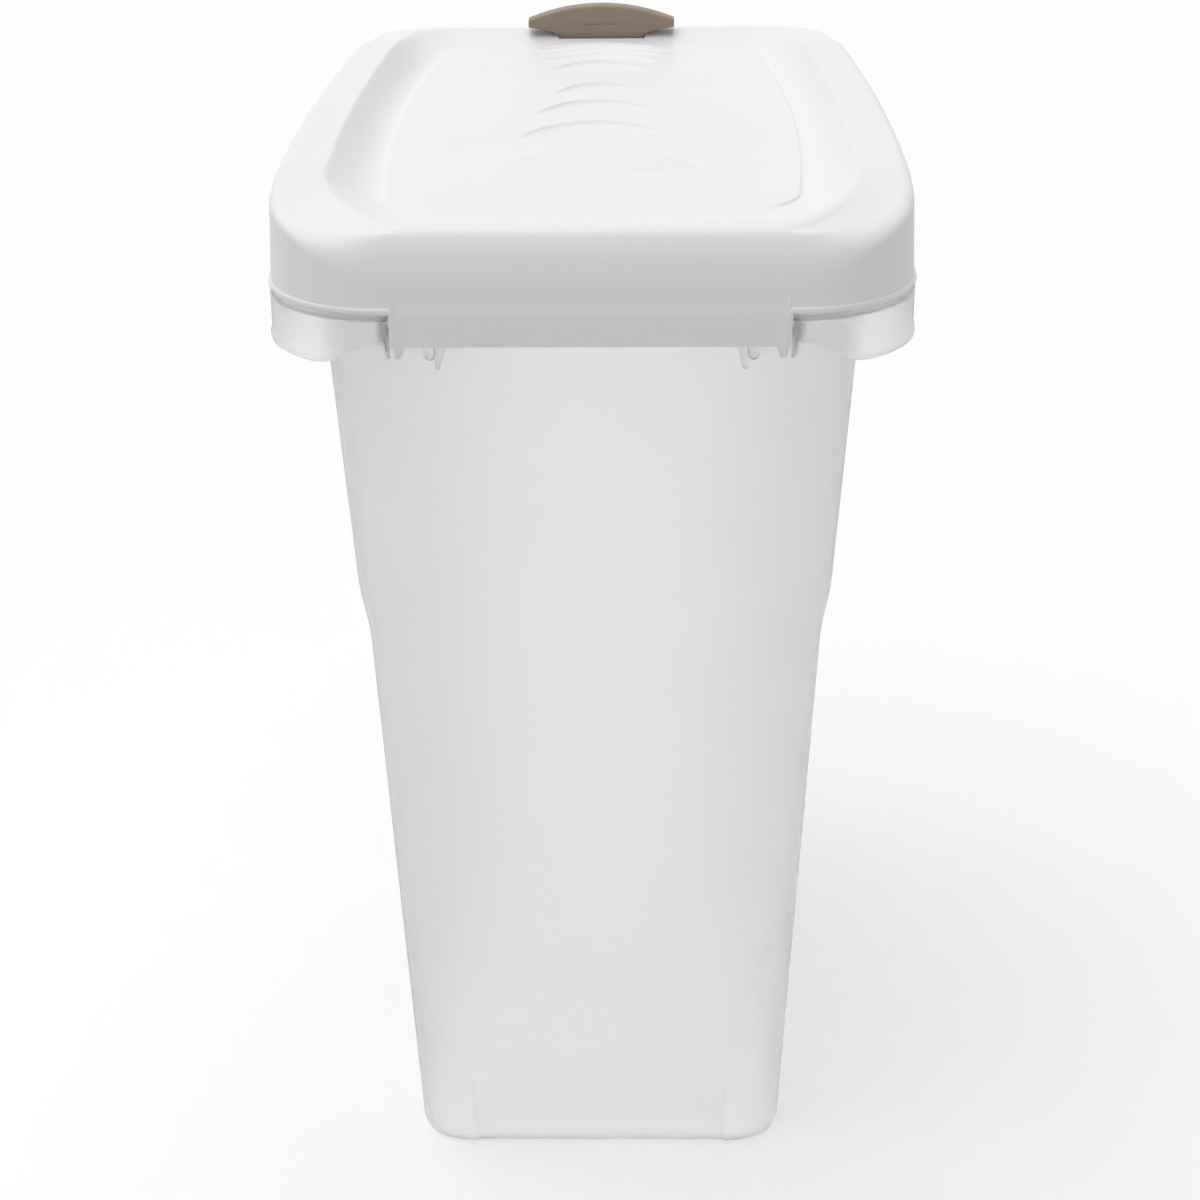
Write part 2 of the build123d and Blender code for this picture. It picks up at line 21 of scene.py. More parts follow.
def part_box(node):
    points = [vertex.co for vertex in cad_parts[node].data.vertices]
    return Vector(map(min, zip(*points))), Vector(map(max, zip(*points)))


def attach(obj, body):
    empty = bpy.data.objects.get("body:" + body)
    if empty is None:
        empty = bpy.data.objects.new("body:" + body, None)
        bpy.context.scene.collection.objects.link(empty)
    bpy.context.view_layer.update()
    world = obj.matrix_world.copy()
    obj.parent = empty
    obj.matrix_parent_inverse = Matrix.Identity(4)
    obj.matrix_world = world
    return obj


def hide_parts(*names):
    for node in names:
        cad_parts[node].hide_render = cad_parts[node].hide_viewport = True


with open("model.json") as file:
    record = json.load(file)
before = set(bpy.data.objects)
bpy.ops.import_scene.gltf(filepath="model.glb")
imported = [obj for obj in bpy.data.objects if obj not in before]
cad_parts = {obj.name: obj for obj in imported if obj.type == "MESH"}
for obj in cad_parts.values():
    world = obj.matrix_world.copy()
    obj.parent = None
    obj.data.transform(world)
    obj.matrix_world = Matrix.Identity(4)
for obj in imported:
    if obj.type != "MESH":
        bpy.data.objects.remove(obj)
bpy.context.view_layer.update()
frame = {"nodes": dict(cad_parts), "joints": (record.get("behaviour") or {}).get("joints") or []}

LOG = logging.getLogger("food_keeper")
MM = 0.001
WHITE = (1.0, 1.0, 1.0, 1.0)


def corners(node: str) -> tuple[np.ndarray, np.ndarray]:
    """Gives a CAD node's lowest and highest corner in millimetres."""
    low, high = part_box(node)
    return np.array(low) / MM, np.array(high) / MM


def joint_place(name: str) -> np.ndarray:
    """Gives the place of a joint of the frame in millimetres."""
    joint = next(j for j in frame["joints"] if j["name"] == name)
    return np.array(joint["pos_m"]) / MM


LID_LOW, LID_HIGH = corners("lid")
BIN_LOW, BIN_HIGH = corners("bin")
LATCH_LOW, LATCH_HIGH = corners("latch")
SEAL_LOW, SEAL_HIGH = corners("lid_seal")
HINGE = joint_place("lid_hinge")
PIVOT = joint_place("latch_pivot")
RIM_TOP = BIN_HIGH[2]


def smooth(value: np.ndarray) -> np.ndarray:
    """Eases a value from 0 to 1, flat at both ends."""
    t = np.clip(value, 0.0, 1.0)
    return t * t * (3.0 - 2.0 * t)


def squared_off(wave: np.ndarray) -> np.ndarray:
    """Squares off a wave, so that two of them go round a box with rounded corners."""
    return np.sign(wave) * np.abs(wave) ** 0.25


def mix(a: float, b: float, share: np.ndarray) -> np.ndarray:
    """Goes from a to b as the share goes from 0 to 1."""
    return a + (b - a) * share


def soft_lowest(heights: Sequence[np.ndarray], softness: float) -> np.ndarray:
    """Takes the lowest of several heights, rounded where they cross.

    Args:
        heights: The heights to choose from.
        softness: How far the rounding reaches, in millimetres.

    Returns:
        One height for each place.
    """
    stack = np.array(np.broadcast_arrays(*heights), float)
    low = stack.min(axis=0)
    return low - softness * np.log(np.exp((low - stack) / softness).sum(axis=0))


# Shader nodes


class Sheet:
    """Adds and links nodes in one node tree."""

    def __init__(self, tree: bpy.types.NodeTree) -> None:
        """Keeps the tree that the nodes go into."""
        self.tree = tree

    def add(self, kind: str, inputs: Optional[dict] = None, **settings) -> bpy.types.Node:
        """Adds a node.

        Args:
            kind: The node's type.
            inputs: Values or sockets for its inputs, by name or number.
            settings: Attributes to set on the node.

        Returns:
            The new node.
        """
        node = self.tree.nodes.new(kind)
        for name, value in settings.items():
            setattr(node, name, value)
        self.feed(node, inputs or {})
        return node

    def feed(self, node: bpy.types.Node, inputs: dict) -> None:
        """Sets or links a node's inputs, by name or number."""
        for key, value in inputs.items():
            if isinstance(value, bpy.types.NodeSocket):
                self.tree.links.new(value, node.inputs[key])
            else:
                node.inputs[key].default_value = value

    def noise(self, place: bpy.types.NodeSocket, scale, detail: float,
              roughness: float = 0.5) -> bpy.types.NodeSocket:
        """Adds a noise texture and gives its value."""
        sizes = {"Vector": place, "Scale": scale, "Detail": detail, "Roughness": roughness}
        return self.add("ShaderNodeTexNoise", sizes).outputs["Fac"]

    def sum(self, operation: str, *values) -> bpy.types.NodeSocket:
        """Adds a Math node and gives its result."""
        return self.add("ShaderNodeMath", dict(enumerate(values)), operation=operation).outputs[0]

    def ease(self, value: bpy.types.NodeSocket, low, high) -> bpy.types.NodeSocket:
        """Adds a smooth step of a value from 0 at low to 1 at high."""
        node = self.add("ShaderNodeMapRange", {0: value, 1: low, 2: high}, interpolation_type="SMOOTHSTEP")
        return node.outputs[0]


def group_sockets(tree: bpy.types.NodeTree, given: Iterable[tuple], made: Iterable[tuple]) -> None:
    """Names a node group's inputs and outputs.

    Args:
        tree: The group.
        given: A name, a socket type and a start value for each input.
        made: A name and a socket type for each output.
    """
    for name, kind, value in given:
        socket = tree.interface.new_socket(name, in_out="INPUT", socket_type=kind)
        if value is not None:
            socket.default_value = value
    for name, kind in made:
        tree.interface.new_socket(name, in_out="OUTPUT", socket_type=kind)


FLOAT = "NodeSocketFloat"


def moulded_grain_group() -> bpy.types.ShaderNodeTree:
    """Builds the group for the fine texture of a moulded surface: a height and a mottle."""
    tree = bpy.data.node_groups.new("moulded_grain", "ShaderNodeTree")
    group_sockets(tree, [("Scale", FLOAT, 900.0), ("Flow", FLOAT, 6.0)],
                  [("Height", FLOAT), ("Mottle", FLOAT)])
    sheet = Sheet(tree)
    given = sheet.add("NodeGroupInput").outputs
    place = sheet.add("ShaderNodeTexCoord").outputs["Object"]
    fine = sheet.noise(place, given["Scale"], 3.0, 0.6)
    flow = sheet.noise(place, given["Flow"], 2.0)
    sheet.add("NodeGroupOutput", {"Height": fine, "Mottle": sheet.ease(flow, 0.3, 0.7)})
    return tree


def handling_group() -> bpy.types.ShaderNodeTree:
    """Builds the group for faint hairline scuffs left by handling: a mask, strongest on upward faces."""
    tree = bpy.data.node_groups.new("handling_marks", "ShaderNodeTree")
    group_sockets(tree, [("Scale", FLOAT, 40.0), ("Amount", FLOAT, 0.3)], [("Mask", FLOAT)])
    sheet = Sheet(tree)
    given = sheet.add("NodeGroupInput").outputs
    place = sheet.add("ShaderNodeTexCoord").outputs["Object"]
    masks = []
    for turn in (0.4, 1.9):
        turned = sheet.add("ShaderNodeMapping", {"Vector": place, "Rotation": (0.0, 0.0, turn),
                                                 "Scale": (1.0, 14.0, 1.0)})
        lines = sheet.noise(turned.outputs[0], given["Scale"], 4.0, 0.65)
        masks.append(sheet.ease(lines, 0.62, 0.72))
    both = sheet.sum("MAXIMUM", *masks)
    where = sheet.ease(sheet.noise(place, 9.0, 1.0), 0.45, 0.65)
    facing = sheet.add("ShaderNodeSeparateXYZ", {0: sheet.add("ShaderNodeNewGeometry").outputs["Normal"]})
    upward = sheet.ease(facing.outputs["Z"], -0.2, 0.9)
    mask = sheet.sum("MULTIPLY", sheet.sum("MULTIPLY", both, where), upward)
    sheet.add("NodeGroupOutput", {"Mask": sheet.sum("MULTIPLY", mask, given["Amount"])})
    return tree


SHADER_GROUPS = {"grain": moulded_grain_group(), "marks": handling_group()}


def new_material(name: str) -> tuple[bpy.types.Material, Sheet]:
    """Makes a material with nodes, and the sheet that its nodes go on."""
    material = bpy.data.materials.new(name)
    material.use_nodes = True
    return material, Sheet(material.node_tree)


@dataclass(frozen=True)
class MouldedPlastic:
    """A moulded plastic: its colours, gloss, fine texture and how much light it lets through."""

    name: str
    colour: tuple[float, float, float]
    shade: tuple[float, float, float]
    roughness: float
    roughness_swing: float = 0.06
    grain_scale: float = 900.0
    grain_depth: float = 0.00003
    grain_strength: float = 0.12
    marks: float = 0.3
    clearness: float = 0.0
    ior: float = 1.49
    mark_gloss: float = 0.15

    def material(self) -> bpy.types.Material:
        """Builds the material's nodes."""
        material, sheet = new_material(self.name)
        groups = SHADER_GROUPS
        grain = sheet.add("ShaderNodeGroup", {"Scale": self.grain_scale}, node_tree=groups["grain"]).outputs
        marks = sheet.add("ShaderNodeGroup", {"Amount": self.marks}, node_tree=groups["marks"]).outputs
        tint = sheet.add("ShaderNodeMix", {"Factor": grain["Mottle"], "A": (*self.colour, 1.0),
                                           "B": (*self.shade, 1.0)}, data_type="RGBA")
        mottled = sheet.sum("MULTIPLY_ADD", grain["Mottle"], self.roughness_swing, self.roughness)
        rough = sheet.sum("SUBTRACT", mottled, sheet.sum("MULTIPLY", marks["Mask"], self.mark_gloss))
        bump = sheet.add("ShaderNodeBump", {"Height": grain["Height"], "Strength": self.grain_strength,
                                            "Distance": self.grain_depth})
        sheet.feed(material.node_tree.nodes["Principled BSDF"], {
            "Base Color": tint.outputs["Result"], "Roughness": rough, "Normal": bump.outputs["Normal"],
            "Transmission Weight": self.clearness, "IOR": self.ior})
        return material


@dataclass(frozen=True)
class SpringSteel:
    """Bright strip steel with fine lengthwise drawing lines."""

    name: str
    colour: tuple[float, float, float]
    roughness: float

    def material(self) -> bpy.types.Material:
        """Builds the material's nodes."""
        material, sheet = new_material(self.name)
        place = sheet.add("ShaderNodeTexCoord").outputs["Object"]
        drawn = sheet.add("ShaderNodeMapping", {"Vector": place, "Scale": (6.0, 1.0, 1.0)})
        lines = sheet.noise(drawn.outputs[0], 400.0, 2.0)
        rough = sheet.sum("MULTIPLY_ADD", lines, 0.2, self.roughness)
        bump = sheet.add("ShaderNodeBump", {"Height": lines, "Strength": 0.2, "Distance": 0.00002})
        sheet.feed(material.node_tree.nodes["Principled BSDF"], {
            "Base Color": (*self.colour, 1.0), "Metallic": 1.0, "Roughness": rough,
            "Normal": bump.outputs["Normal"]})
        return material


class Slot(Enum):
    """The record's material slots."""

    BIN = "frosted_plastic"
    LID = "white_plastic"
    SEAL = "soft_seal"
    LATCH = "brown_plastic"
    PIN = "pin_plastic"
    SPRING = "spring_steel"


FINISHES = {
    Slot.BIN: MouldedPlastic("frosted_plastic", (0.992, 0.992, 0.995), (0.985, 0.985, 0.99), 0.5,
                             clearness=0.9, grain_strength=0.1, marks=0.25, ior=1.22),
    Slot.LID: MouldedPlastic("white_plastic", (0.885, 0.885, 0.905), (0.875, 0.875, 0.895), 0.34, marks=0.25),
    Slot.SEAL: MouldedPlastic("soft_seal", (0.7, 0.7, 0.71), (0.66, 0.66, 0.67), 0.75, grain_depth=0.00005,
                              grain_strength=0.3, marks=0.0),
    Slot.LATCH: MouldedPlastic("brown_plastic", (0.325, 0.25, 0.184), (0.31, 0.238, 0.174), 0.55,
                               grain_scale=1400.0, grain_strength=0.2, marks=0.35),
    Slot.PIN: MouldedPlastic("pin_plastic", (0.84, 0.84, 0.85), (0.81, 0.81, 0.82), 0.4, marks=0.1),
    Slot.SPRING: SpringSteel("spring_steel", (0.6, 0.6, 0.6), 0.28),
}
MATERIALS = {slot: finish.material() for slot, finish in FINISHES.items()}


# Meshes


def show(item: bpy.types.Object) -> bpy.types.Object:
    """Puts an object into the scene."""
    bpy.context.scene.collection.objects.link(item)
    return item


def plain_mesh(name: str, places: list, faces: list, material: bpy.types.Material) -> bpy.types.Mesh:
    """Makes a smooth-shaded mesh.

    Args:
        name: The mesh's name.
        places: Vertex places in metres.
        faces: Vertex numbers of each face.
        material: Its one material.

    Returns:
        The new mesh.
    """
    mesh = bpy.data.meshes.new(name)
    mesh.from_pydata(places, [], faces)
    mesh.materials.append(material)
    mesh.polygons.foreach_set("use_smooth", [True] * len(mesh.polygons))
    return mesh


def make_piece(name: str, points: np.ndarray, faces: Sequence[Sequence[int]], slot: Slot) -> bpy.types.Object:
    """Makes a smooth-shaded object at the origin.

    Args:
        name: The piece's name.
        points: Vertex places in millimetres.
        faces: Vertex numbers of each face.
        slot: The finish.

    Returns:
        The new object, linked to the scene.
    """
    places = (np.asarray(points) * MM).tolist()
    mesh = plain_mesh(name, places, [list(map(int, face)) for face in faces], MATERIALS[slot])
    mesh.validate()
    return show(bpy.data.objects.new(name, mesh))


def settle(piece: bpy.types.Object) -> bpy.types.Object:
    """Turns a piece's modifiers into plain mesh and removes them."""
    bpy.context.view_layer.update()
    made = piece.evaluated_get(bpy.context.evaluated_depsgraph_get())
    mesh = bpy.data.meshes.new_from_object(made)
    mesh.name = piece.name
    piece.modifiers.clear()
    piece.data = mesh
    return piece


def thicken(piece: bpy.types.Object, wall: float) -> bpy.types.Object:
    """Gives a skin its wall.

    Args:
        piece: The skin.
        wall: The wall in millimetres, laid on the side that the faces turn away from.

    Returns:
        The same piece as plain mesh.
    """
    modifier = piece.modifiers.new("wall", "SOLIDIFY")
    modifier.thickness = wall * MM
    modifier.offset = -1.0
    return settle(piece)


def round_edges(piece: bpy.types.Object, radius: float, segments: int, angle: float,
                harden: bool = True) -> bpy.types.Object:
    """Rounds a piece's edges.

    Args:
        piece: The piece.
        radius: The edge radius in millimetres.
        segments: The steps round an edge.
        angle: The turn in degrees from which an edge is rounded.
        harden: Whether the faces beside the edges keep their flat shading.

    Returns:
        The same piece as plain mesh.
    """
    bevel = piece.modifiers.new("round", "BEVEL")
    bevel.width = radius * MM
    bevel.segments = segments
    bevel.limit_method = "ANGLE"
    bevel.angle_limit = math.radians(angle)
    bevel.harden_normals = harden
    return settle(piece)


def join(name: str, pieces: Sequence[bpy.types.Object]) -> bpy.types.Object:
    """Joins several pieces of one finish into the first and renames it."""
    points, faces, start = [], [], 0
    for piece in pieces:
        mesh = piece.data
        co = np.zeros(len(mesh.vertices) * 3)
        mesh.vertices.foreach_get("co", co)
        points.append(co.reshape(-1, 3))
        faces += [[start + v for v in face.vertices] for face in mesh.polygons]
        start += len(mesh.vertices)
    mesh = plain_mesh(name, np.concatenate(points).tolist(), faces, pieces[0].data.materials[0])
    for piece in pieces[1:]:
        bpy.data.objects.remove(piece)
    pieces[0].data = mesh
    pieces[0].name = name
    return pieces[0]


def sharpen(piece: bpy.types.Object, angle: float) -> None:
    """Marks the edges that turn by more than an angle in degrees as sharp."""
    piece.data.set_sharp_from_angle(angle=math.radians(angle))


def bridge(rings: Sequence[Sequence[int]], closed: bool = True) -> list[tuple[int, int, int, int]]:
    """Gives the faces between rings of vertex numbers, each as long as the next."""
    faces = []
    for low, high in zip(rings, rings[1:]):
        for i in range(len(low) if closed else len(low) - 1):
            j = (i + 1) % len(low)
            faces.append((low[i], low[j], high[j], high[i]))
    return faces


def loft(name: str, rings: Sequence[np.ndarray], slot: Slot) -> bpy.types.Object:
    """Makes a closed solid from rings of points that all run the same way round its axis.

    Args:
        name: The piece's name.
        rings: Rings of equal length, in order.
        slot: The finish.

    Returns:
        The solid, its two ends closed to their middles.
    """
    count = len(rings[0])
    points = np.concatenate([*rings, [rings[0].mean(axis=0)], [rings[-1].mean(axis=0)]])
    index = np.arange(count * len(rings)).reshape(len(rings), count)
    faces: list[tuple[int, ...]] = list(bridge(index))
    first, last = len(points) - 2, len(points) - 1
    faces += [(index[0][(i + 1) % count], index[0][i], first) for i in range(count)]
    faces += [(index[-1][i], index[-1][(i + 1) % count], last) for i in range(count)]
    return make_piece(name, points, faces, slot)


def bevelled_prism(name: str, outline: Sequence[tuple[float, float]], axis: str, low: float, high: float,
                   radius: float, slot: Slot) -> bpy.types.Object:
    """Makes a prism with rounded edges.

    Args:
        name: The piece's name.
        outline: The outline in YZ for axis X, or in XZ for axis Y, anticlockwise or clockwise.
        axis: The direction of the prism, X or Y.
        low: Where it starts along the axis.
        high: Where it ends.
        radius: The edge radius.
        slot: The finish.

    Returns:
        The prism.
    """
    ends = []
    for along in (low, high):
        ends += [(along, a, b) if axis == "X" else (a, along, b) for a, b in outline]
    count = len(outline)
    faces = [tuple(range(count)), tuple(reversed(range(count, 2 * count)))]
    faces += [(i, i + count, (i + 1) % count + count, (i + 1) % count) for i in range(count)]
    piece = make_piece(name, np.array(ends), faces, slot)
    flip = sum(a[0] * b[1] - a[1] * b[0] for a, b in zip(outline, [*outline[1:], outline[0]])) > 0
    if flip == (axis == "X"):
        piece.data.flip_normals()
    return round_edges(piece, radius, 3, 25.0)


def rod(name: str, radius: float, low: float, high: float, place: np.ndarray, slot: Slot) -> bpy.types.Object:
    """Makes a round bar along X with softened ends, centred on a place in YZ."""
    steps = 40
    edge = min(0.6, radius / 4)
    turn = np.linspace(0, 2 * math.pi, steps, endpoint=False)
    rings = []
    for x, r in ((low, radius - edge), (low + edge, radius), (high - edge, radius), (high, radius - edge)):
        y, z = place[1] + r * np.cos(turn), place[2] + r * np.sin(turn)
        rings.append(np.column_stack([np.full(steps, x), y, z]))
    return loft(name, rings, slot)


# Outlines


class Blend:
    """A set of sizes that can be worked out part of the way to another set of its kind."""

    def toward(self, other: "Blend", share: float) -> "Blend":
        """Gives the set part of the way to another.

        Args:
            other: The set at a share of 1.
            share: How far to go, from 0 to 1 or beyond.

        Returns:
            A new set of the same kind.
        """
        made = []
        for size in fields(self):
            start, end = getattr(self, size.name), getattr(other, size.name)
            made.append(start.toward(end, share) if isinstance(start, Blend) else mix(start, end, share))
        return type(self)(*made)


@dataclass(frozen=True)
class Corner(Blend):
    """How a side turns into an end: how far it reaches across and along, and how full it is."""

    across: float
    along: float
    power: float = 2.0


@dataclass(frozen=True)
class Side(Blend):
    """The bowed line of the object's side: its half width at two ends, and its bow."""

    near_half: float
    far_half: float
    near_y: float
    far_y: float
    bow: float

    def half(self, y: np.ndarray) -> np.ndarray:
        """Gives the half width at a depth y."""
        share = (y - self.near_y) / (self.far_y - self.near_y)
        return mix(self.near_half, self.far_half, share) + self.bow * (1.0 - (2.0 * share - 1.0) ** 2)


@dataclass(frozen=True)
class Spacing:
    """Where the points of a ring lie: shares of each half end and of each side, and steps round a corner."""

    ends: tuple[float, ...]
    sides: tuple[float, ...]
    corner: int

    @property
    def across(self) -> int:
        """Gives the steps from one corner's middle to the next along an end."""
        return 2 * len(self.ends) + self.corner

    @property
    def along(self) -> int:
        """Gives the steps from one corner's middle to the next along a side."""
        return len(self.sides) + self.corner


def shares(*spans: tuple[float, int]) -> tuple[float, ...]:
    """Divides 0 to 1 into spans of even steps.

    Args:
        spans: Where each span ends, and its number of steps.

    Returns:
        The ends of the steps.
    """
    made, start = [], 0.0
    for end, count in spans:
        made += [start + (end - start) * (k + 1) / count for k in range(count)]
        start = end
    return tuple(made)


@dataclass(frozen=True)
class Ring(Blend):
    """One closed line round the object."""

    side: Side
    near_inset: float
    far_inset: float
    near_y: float
    far_y: float
    near_corner: Corner
    far_corner: Corner

    def edge(self, y: np.ndarray) -> np.ndarray:
        """Gives the ring's half width at a depth y, corners apart."""
        share = (y - self.side.near_y) / (self.side.far_y - self.side.near_y)
        return self.side.half(y) - mix(self.near_inset, self.far_inset, share)

    def points(self, spacing: Spacing) -> tuple[np.ndarray, np.ndarray, np.ndarray]:
        """Works out the ring's points, anticlockwise from the middle of the near left corner.

        Args:
            spacing: How the points are spread.

        Returns:
            The places in XY, and for each how far it belongs to the near and to the far end, from 0 to 1.
        """
        down = np.linspace(90.0, 0.0, spacing.corner + 1)[1:]
        places, near, far = [], [], []

        def turn(angles: np.ndarray, corner: Corner, end_y: float, inward: float, weight: list,
                 other: list) -> None:
            """Adds a corner's points."""
            s = np.sin(np.radians(angles)) ** (2.0 / corner.power)
            c = np.cos(np.radians(angles)).clip(0.0) ** (2.0 / corner.power)
            y = end_y + inward * corner.along * (1.0 - s)
            places.extend(zip(self.edge(y) - corner.across * (1.0 - c), y))
            weight.extend(smooth(angles / 90.0))
            other.extend([0.0] * len(angles))

        def end(fractions: Sequence[float], corner: Corner, y: float, weight: list, other: list) -> None:
            """Adds the points of half an end."""
            reach = self.edge(np.array(y)) - corner.across
            places.extend((f * reach, y) for f in fractions)
            weight.extend([1.0] * len(fractions))
            other.extend([0.0] * len(fractions))

        end((0.0, *spacing.ends), self.near_corner, self.near_y, near, far)
        turn(down, self.near_corner, self.near_y, 1.0, near, far)
        start_y = self.near_y + self.near_corner.along
        end_y = self.far_y - self.far_corner.along
        y = start_y + (end_y - start_y) * np.array(spacing.sides)
        places.extend(zip(self.edge(y), y))
        near.extend([0.0] * len(y))
        far.extend([0.0] * len(y))
        turn(np.array([*down[::-1][1:], 90.0]), self.far_corner, self.far_y, -1.0, far, near)
        end((*spacing.ends[::-1][1:], 0.0), self.far_corner, self.far_y, far, near)
        half = np.array(places)
        mirrored = half[-2:0:-1] * (-1.0, 1.0)
        shift = spacing.across // 2
        loop = np.roll(np.concatenate([half, mirrored]), shift, axis=0)
        weights = [np.roll(np.concatenate([w, w[-2:0:-1]]), shift) for w in (near, far)]
        return loop, weights[0], weights[1]

    def level(self, spacing: Spacing, z: float) -> np.ndarray:
        """Gives the ring's points in XYZ at one height."""
        loop = self.points(spacing)[0]
        return np.column_stack([loop, np.full(len(loop), z)])


def four_sides(ring: np.ndarray, spacing: Spacing) -> tuple[np.ndarray, ...]:
    """Splits a ring into its near, right, far and left lines, each from its lowest X or Y."""
    nx, ny = spacing.across, spacing.along
    far = ring[nx + ny : 2 * nx + ny + 1][::-1]
    left = np.concatenate([ring[2 * nx + ny :], ring[:1]])[::-1]
    return ring[: nx + 1], ring[nx : nx + ny + 1], far, left


def patch(ring: np.ndarray, spacing: Spacing) -> np.ndarray:
    """Fills a ring with a grid of points.

    Args:
        ring: The points round the grid, in XY or XYZ.
        spacing: How they are spread.

    Returns:
        The points as an array, across by along.
    """
    near, right, far, left = four_sides(ring, spacing)

    def run(line: np.ndarray) -> np.ndarray:
        """Gives each point's share of a line's length."""
        steps = np.linalg.norm(np.diff(line, axis=0), axis=1)
        return np.concatenate([[0.0], np.cumsum(steps)]) / steps.sum()

    u = ((run(near) + run(far)) / 2)[:, None, None]
    v = ((run(left) + run(right)) / 2)[None, :, None]
    grid = (1 - v) * near[:, None] + v * far[:, None] + (1 - u) * left[None] + u * right[None]
    four = (1 - u) * (1 - v) * near[0] + u * (1 - v) * near[-1] + (1 - u) * v * far[0] + u * v * far[-1]
    return grid - four


def lid_side() -> Side:
    """Gives the line of the lid's lower edge along its sides."""
    return Side(near_half=138.6, far_half=119.7, near_y=LID_LOW[1], far_y=LID_HIGH[1] - 1.5, bow=9.0)


# Swept pieces, made with geometry nodes


def start_tree(name: str, sizes: dict[str, float]) -> tuple[Sheet, bpy.types.NodeOutputs]:
    """Starts the nodes of a piece's shape.

    Args:
        name: The tree's name.
        sizes: The tree's named sizes, with their start values.

    Returns:
        The tree's sheet and its inputs: the geometry, the sizes and the material.
    """
    tree = bpy.data.node_groups.new(name, "GeometryNodeTree")
    geometry = ("Geometry", "NodeSocketGeometry")
    numbers = [(size, FLOAT, value) for size, value in sizes.items()]
    group_sockets(tree, [(*geometry, None), *numbers, ("Material", "NodeSocketMaterial", None)], [geometry])
    sheet = Sheet(tree)
    return sheet, sheet.add("NodeGroupInput").outputs


def end_tree(sheet: Sheet, made: bpy.types.NodeSocket,
             material: bpy.types.NodeSocket) -> bpy.types.GeometryNodeTree:
    """Ends the nodes of a piece's shape: realizes what they made and gives it its material."""
    whole = sheet.add("GeometryNodeRealizeInstances", {0: made}).outputs[0]
    dressed = sheet.add("GeometryNodeSetMaterial", {"Geometry": whole, "Material": material})
    sheet.add("NodeGroupOutput", {0: dressed.outputs[0]})
    return sheet.tree


class Profile(Enum):
    """The section that a swept piece carries along its path."""

    ROUND = "round"
    LIP = "lip"


def swept_tree(profile: Profile) -> bpy.types.GeometryNodeTree:
    """Builds the nodes that sweep a section along a line of edges.

    Args:
        profile: The section: a round bead, or a seal's flat foot with a rounded lip.

    Returns:
        The tree, with named inputs for the section's sizes and its material.
    """
    sheet, given = start_tree(f"sweep_{profile.value}", {"Width": 0.003, "Height": 0.003})
    path = sheet.add("GeometryNodeMeshToCurve", {0: given["Geometry"]}).outputs[0]
    sized = sheet.add("GeometryNodeInputNamedAttribute", {"Name": "bead_size"}, data_type="FLOAT")
    path = sheet.add("GeometryNodeSetCurveRadius", {"Curve": path, "Radius": sized.outputs[0]}).outputs[0]
    if profile is Profile.LIP:
        path = sheet.add("GeometryNodeSetCurveNormal", {"Curve": path}, mode="Z_UP").outputs[0]
    circle = sheet.add("GeometryNodeCurvePrimitiveCircle", {"Resolution": 14, "Radius": 0.5}).outputs[0]
    size = sheet.add("ShaderNodeCombineXYZ", {0: given["Width"], 1: given["Height"], 2: 1.0}).outputs[0]
    section = sheet.add("GeometryNodeTransform", {"Geometry": circle, "Scale": size}).outputs[0]
    swept = sheet.add("GeometryNodeCurveToMesh", {"Curve": path, "Profile Curve": section, "Fill Caps": True})
    if "Scale" in [socket.name for socket in swept.inputs]:
        sheet.feed(swept, {"Scale": sheet.add("GeometryNodeInputRadius").outputs[0]})
    return end_tree(sheet, swept.outputs[0], given["Material"])


def set_inputs(modifier: bpy.types.NodesModifier, values: dict) -> None:
    """Sets a geometry nodes modifier's inputs by their names."""
    for item in modifier.node_group.interface.items_tree:
        if item.item_type == "SOCKET" and item.in_out == "INPUT" and item.name in values:
            modifier[item.identifier] = values[item.name]


def sweep(name: str, path: np.ndarray, closed: bool, width: float, height: float, slot: Slot,
          sizes: Optional[np.ndarray] = None, profile: Profile = Profile.ROUND) -> bpy.types.Object:
    """Sweeps a section along a path with geometry nodes and makes it a plain mesh.

    Args:
        name: The piece's name.
        path: The path's points in millimetres.
        closed: Whether the path ends where it starts.
        width: The section's width.
        height: The section's height.
        slot: The finish.
        sizes: The section's size at each point, as a share of the full one.
        profile: The kind of section.

    Returns:
        The swept piece.
    """
    mesh = bpy.data.meshes.new(name)
    edges = [(i, i + 1) for i in range(len(path) - 1)]
    if closed:
        edges.append((len(path) - 1, 0))
    mesh.from_pydata((path * MM).tolist(), edges, [])
    attribute = mesh.attributes.new("bead_size", "FLOAT", "POINT")
    attribute.data.foreach_set("value", np.ones(len(path)) if sizes is None else sizes)
    piece = show(bpy.data.objects.new(name, mesh))
    modifier = piece.modifiers.new("sweep", "NODES")
    modifier.node_group = swept_tree(profile)
    set_inputs(modifier, {"Width": width * MM, "Height": height * MM, "Material": MATERIALS[slot]})
    settle(piece)
    piece.data.polygons.foreach_set("use_smooth", [True] * len(piece.data.polygons))
    return piece


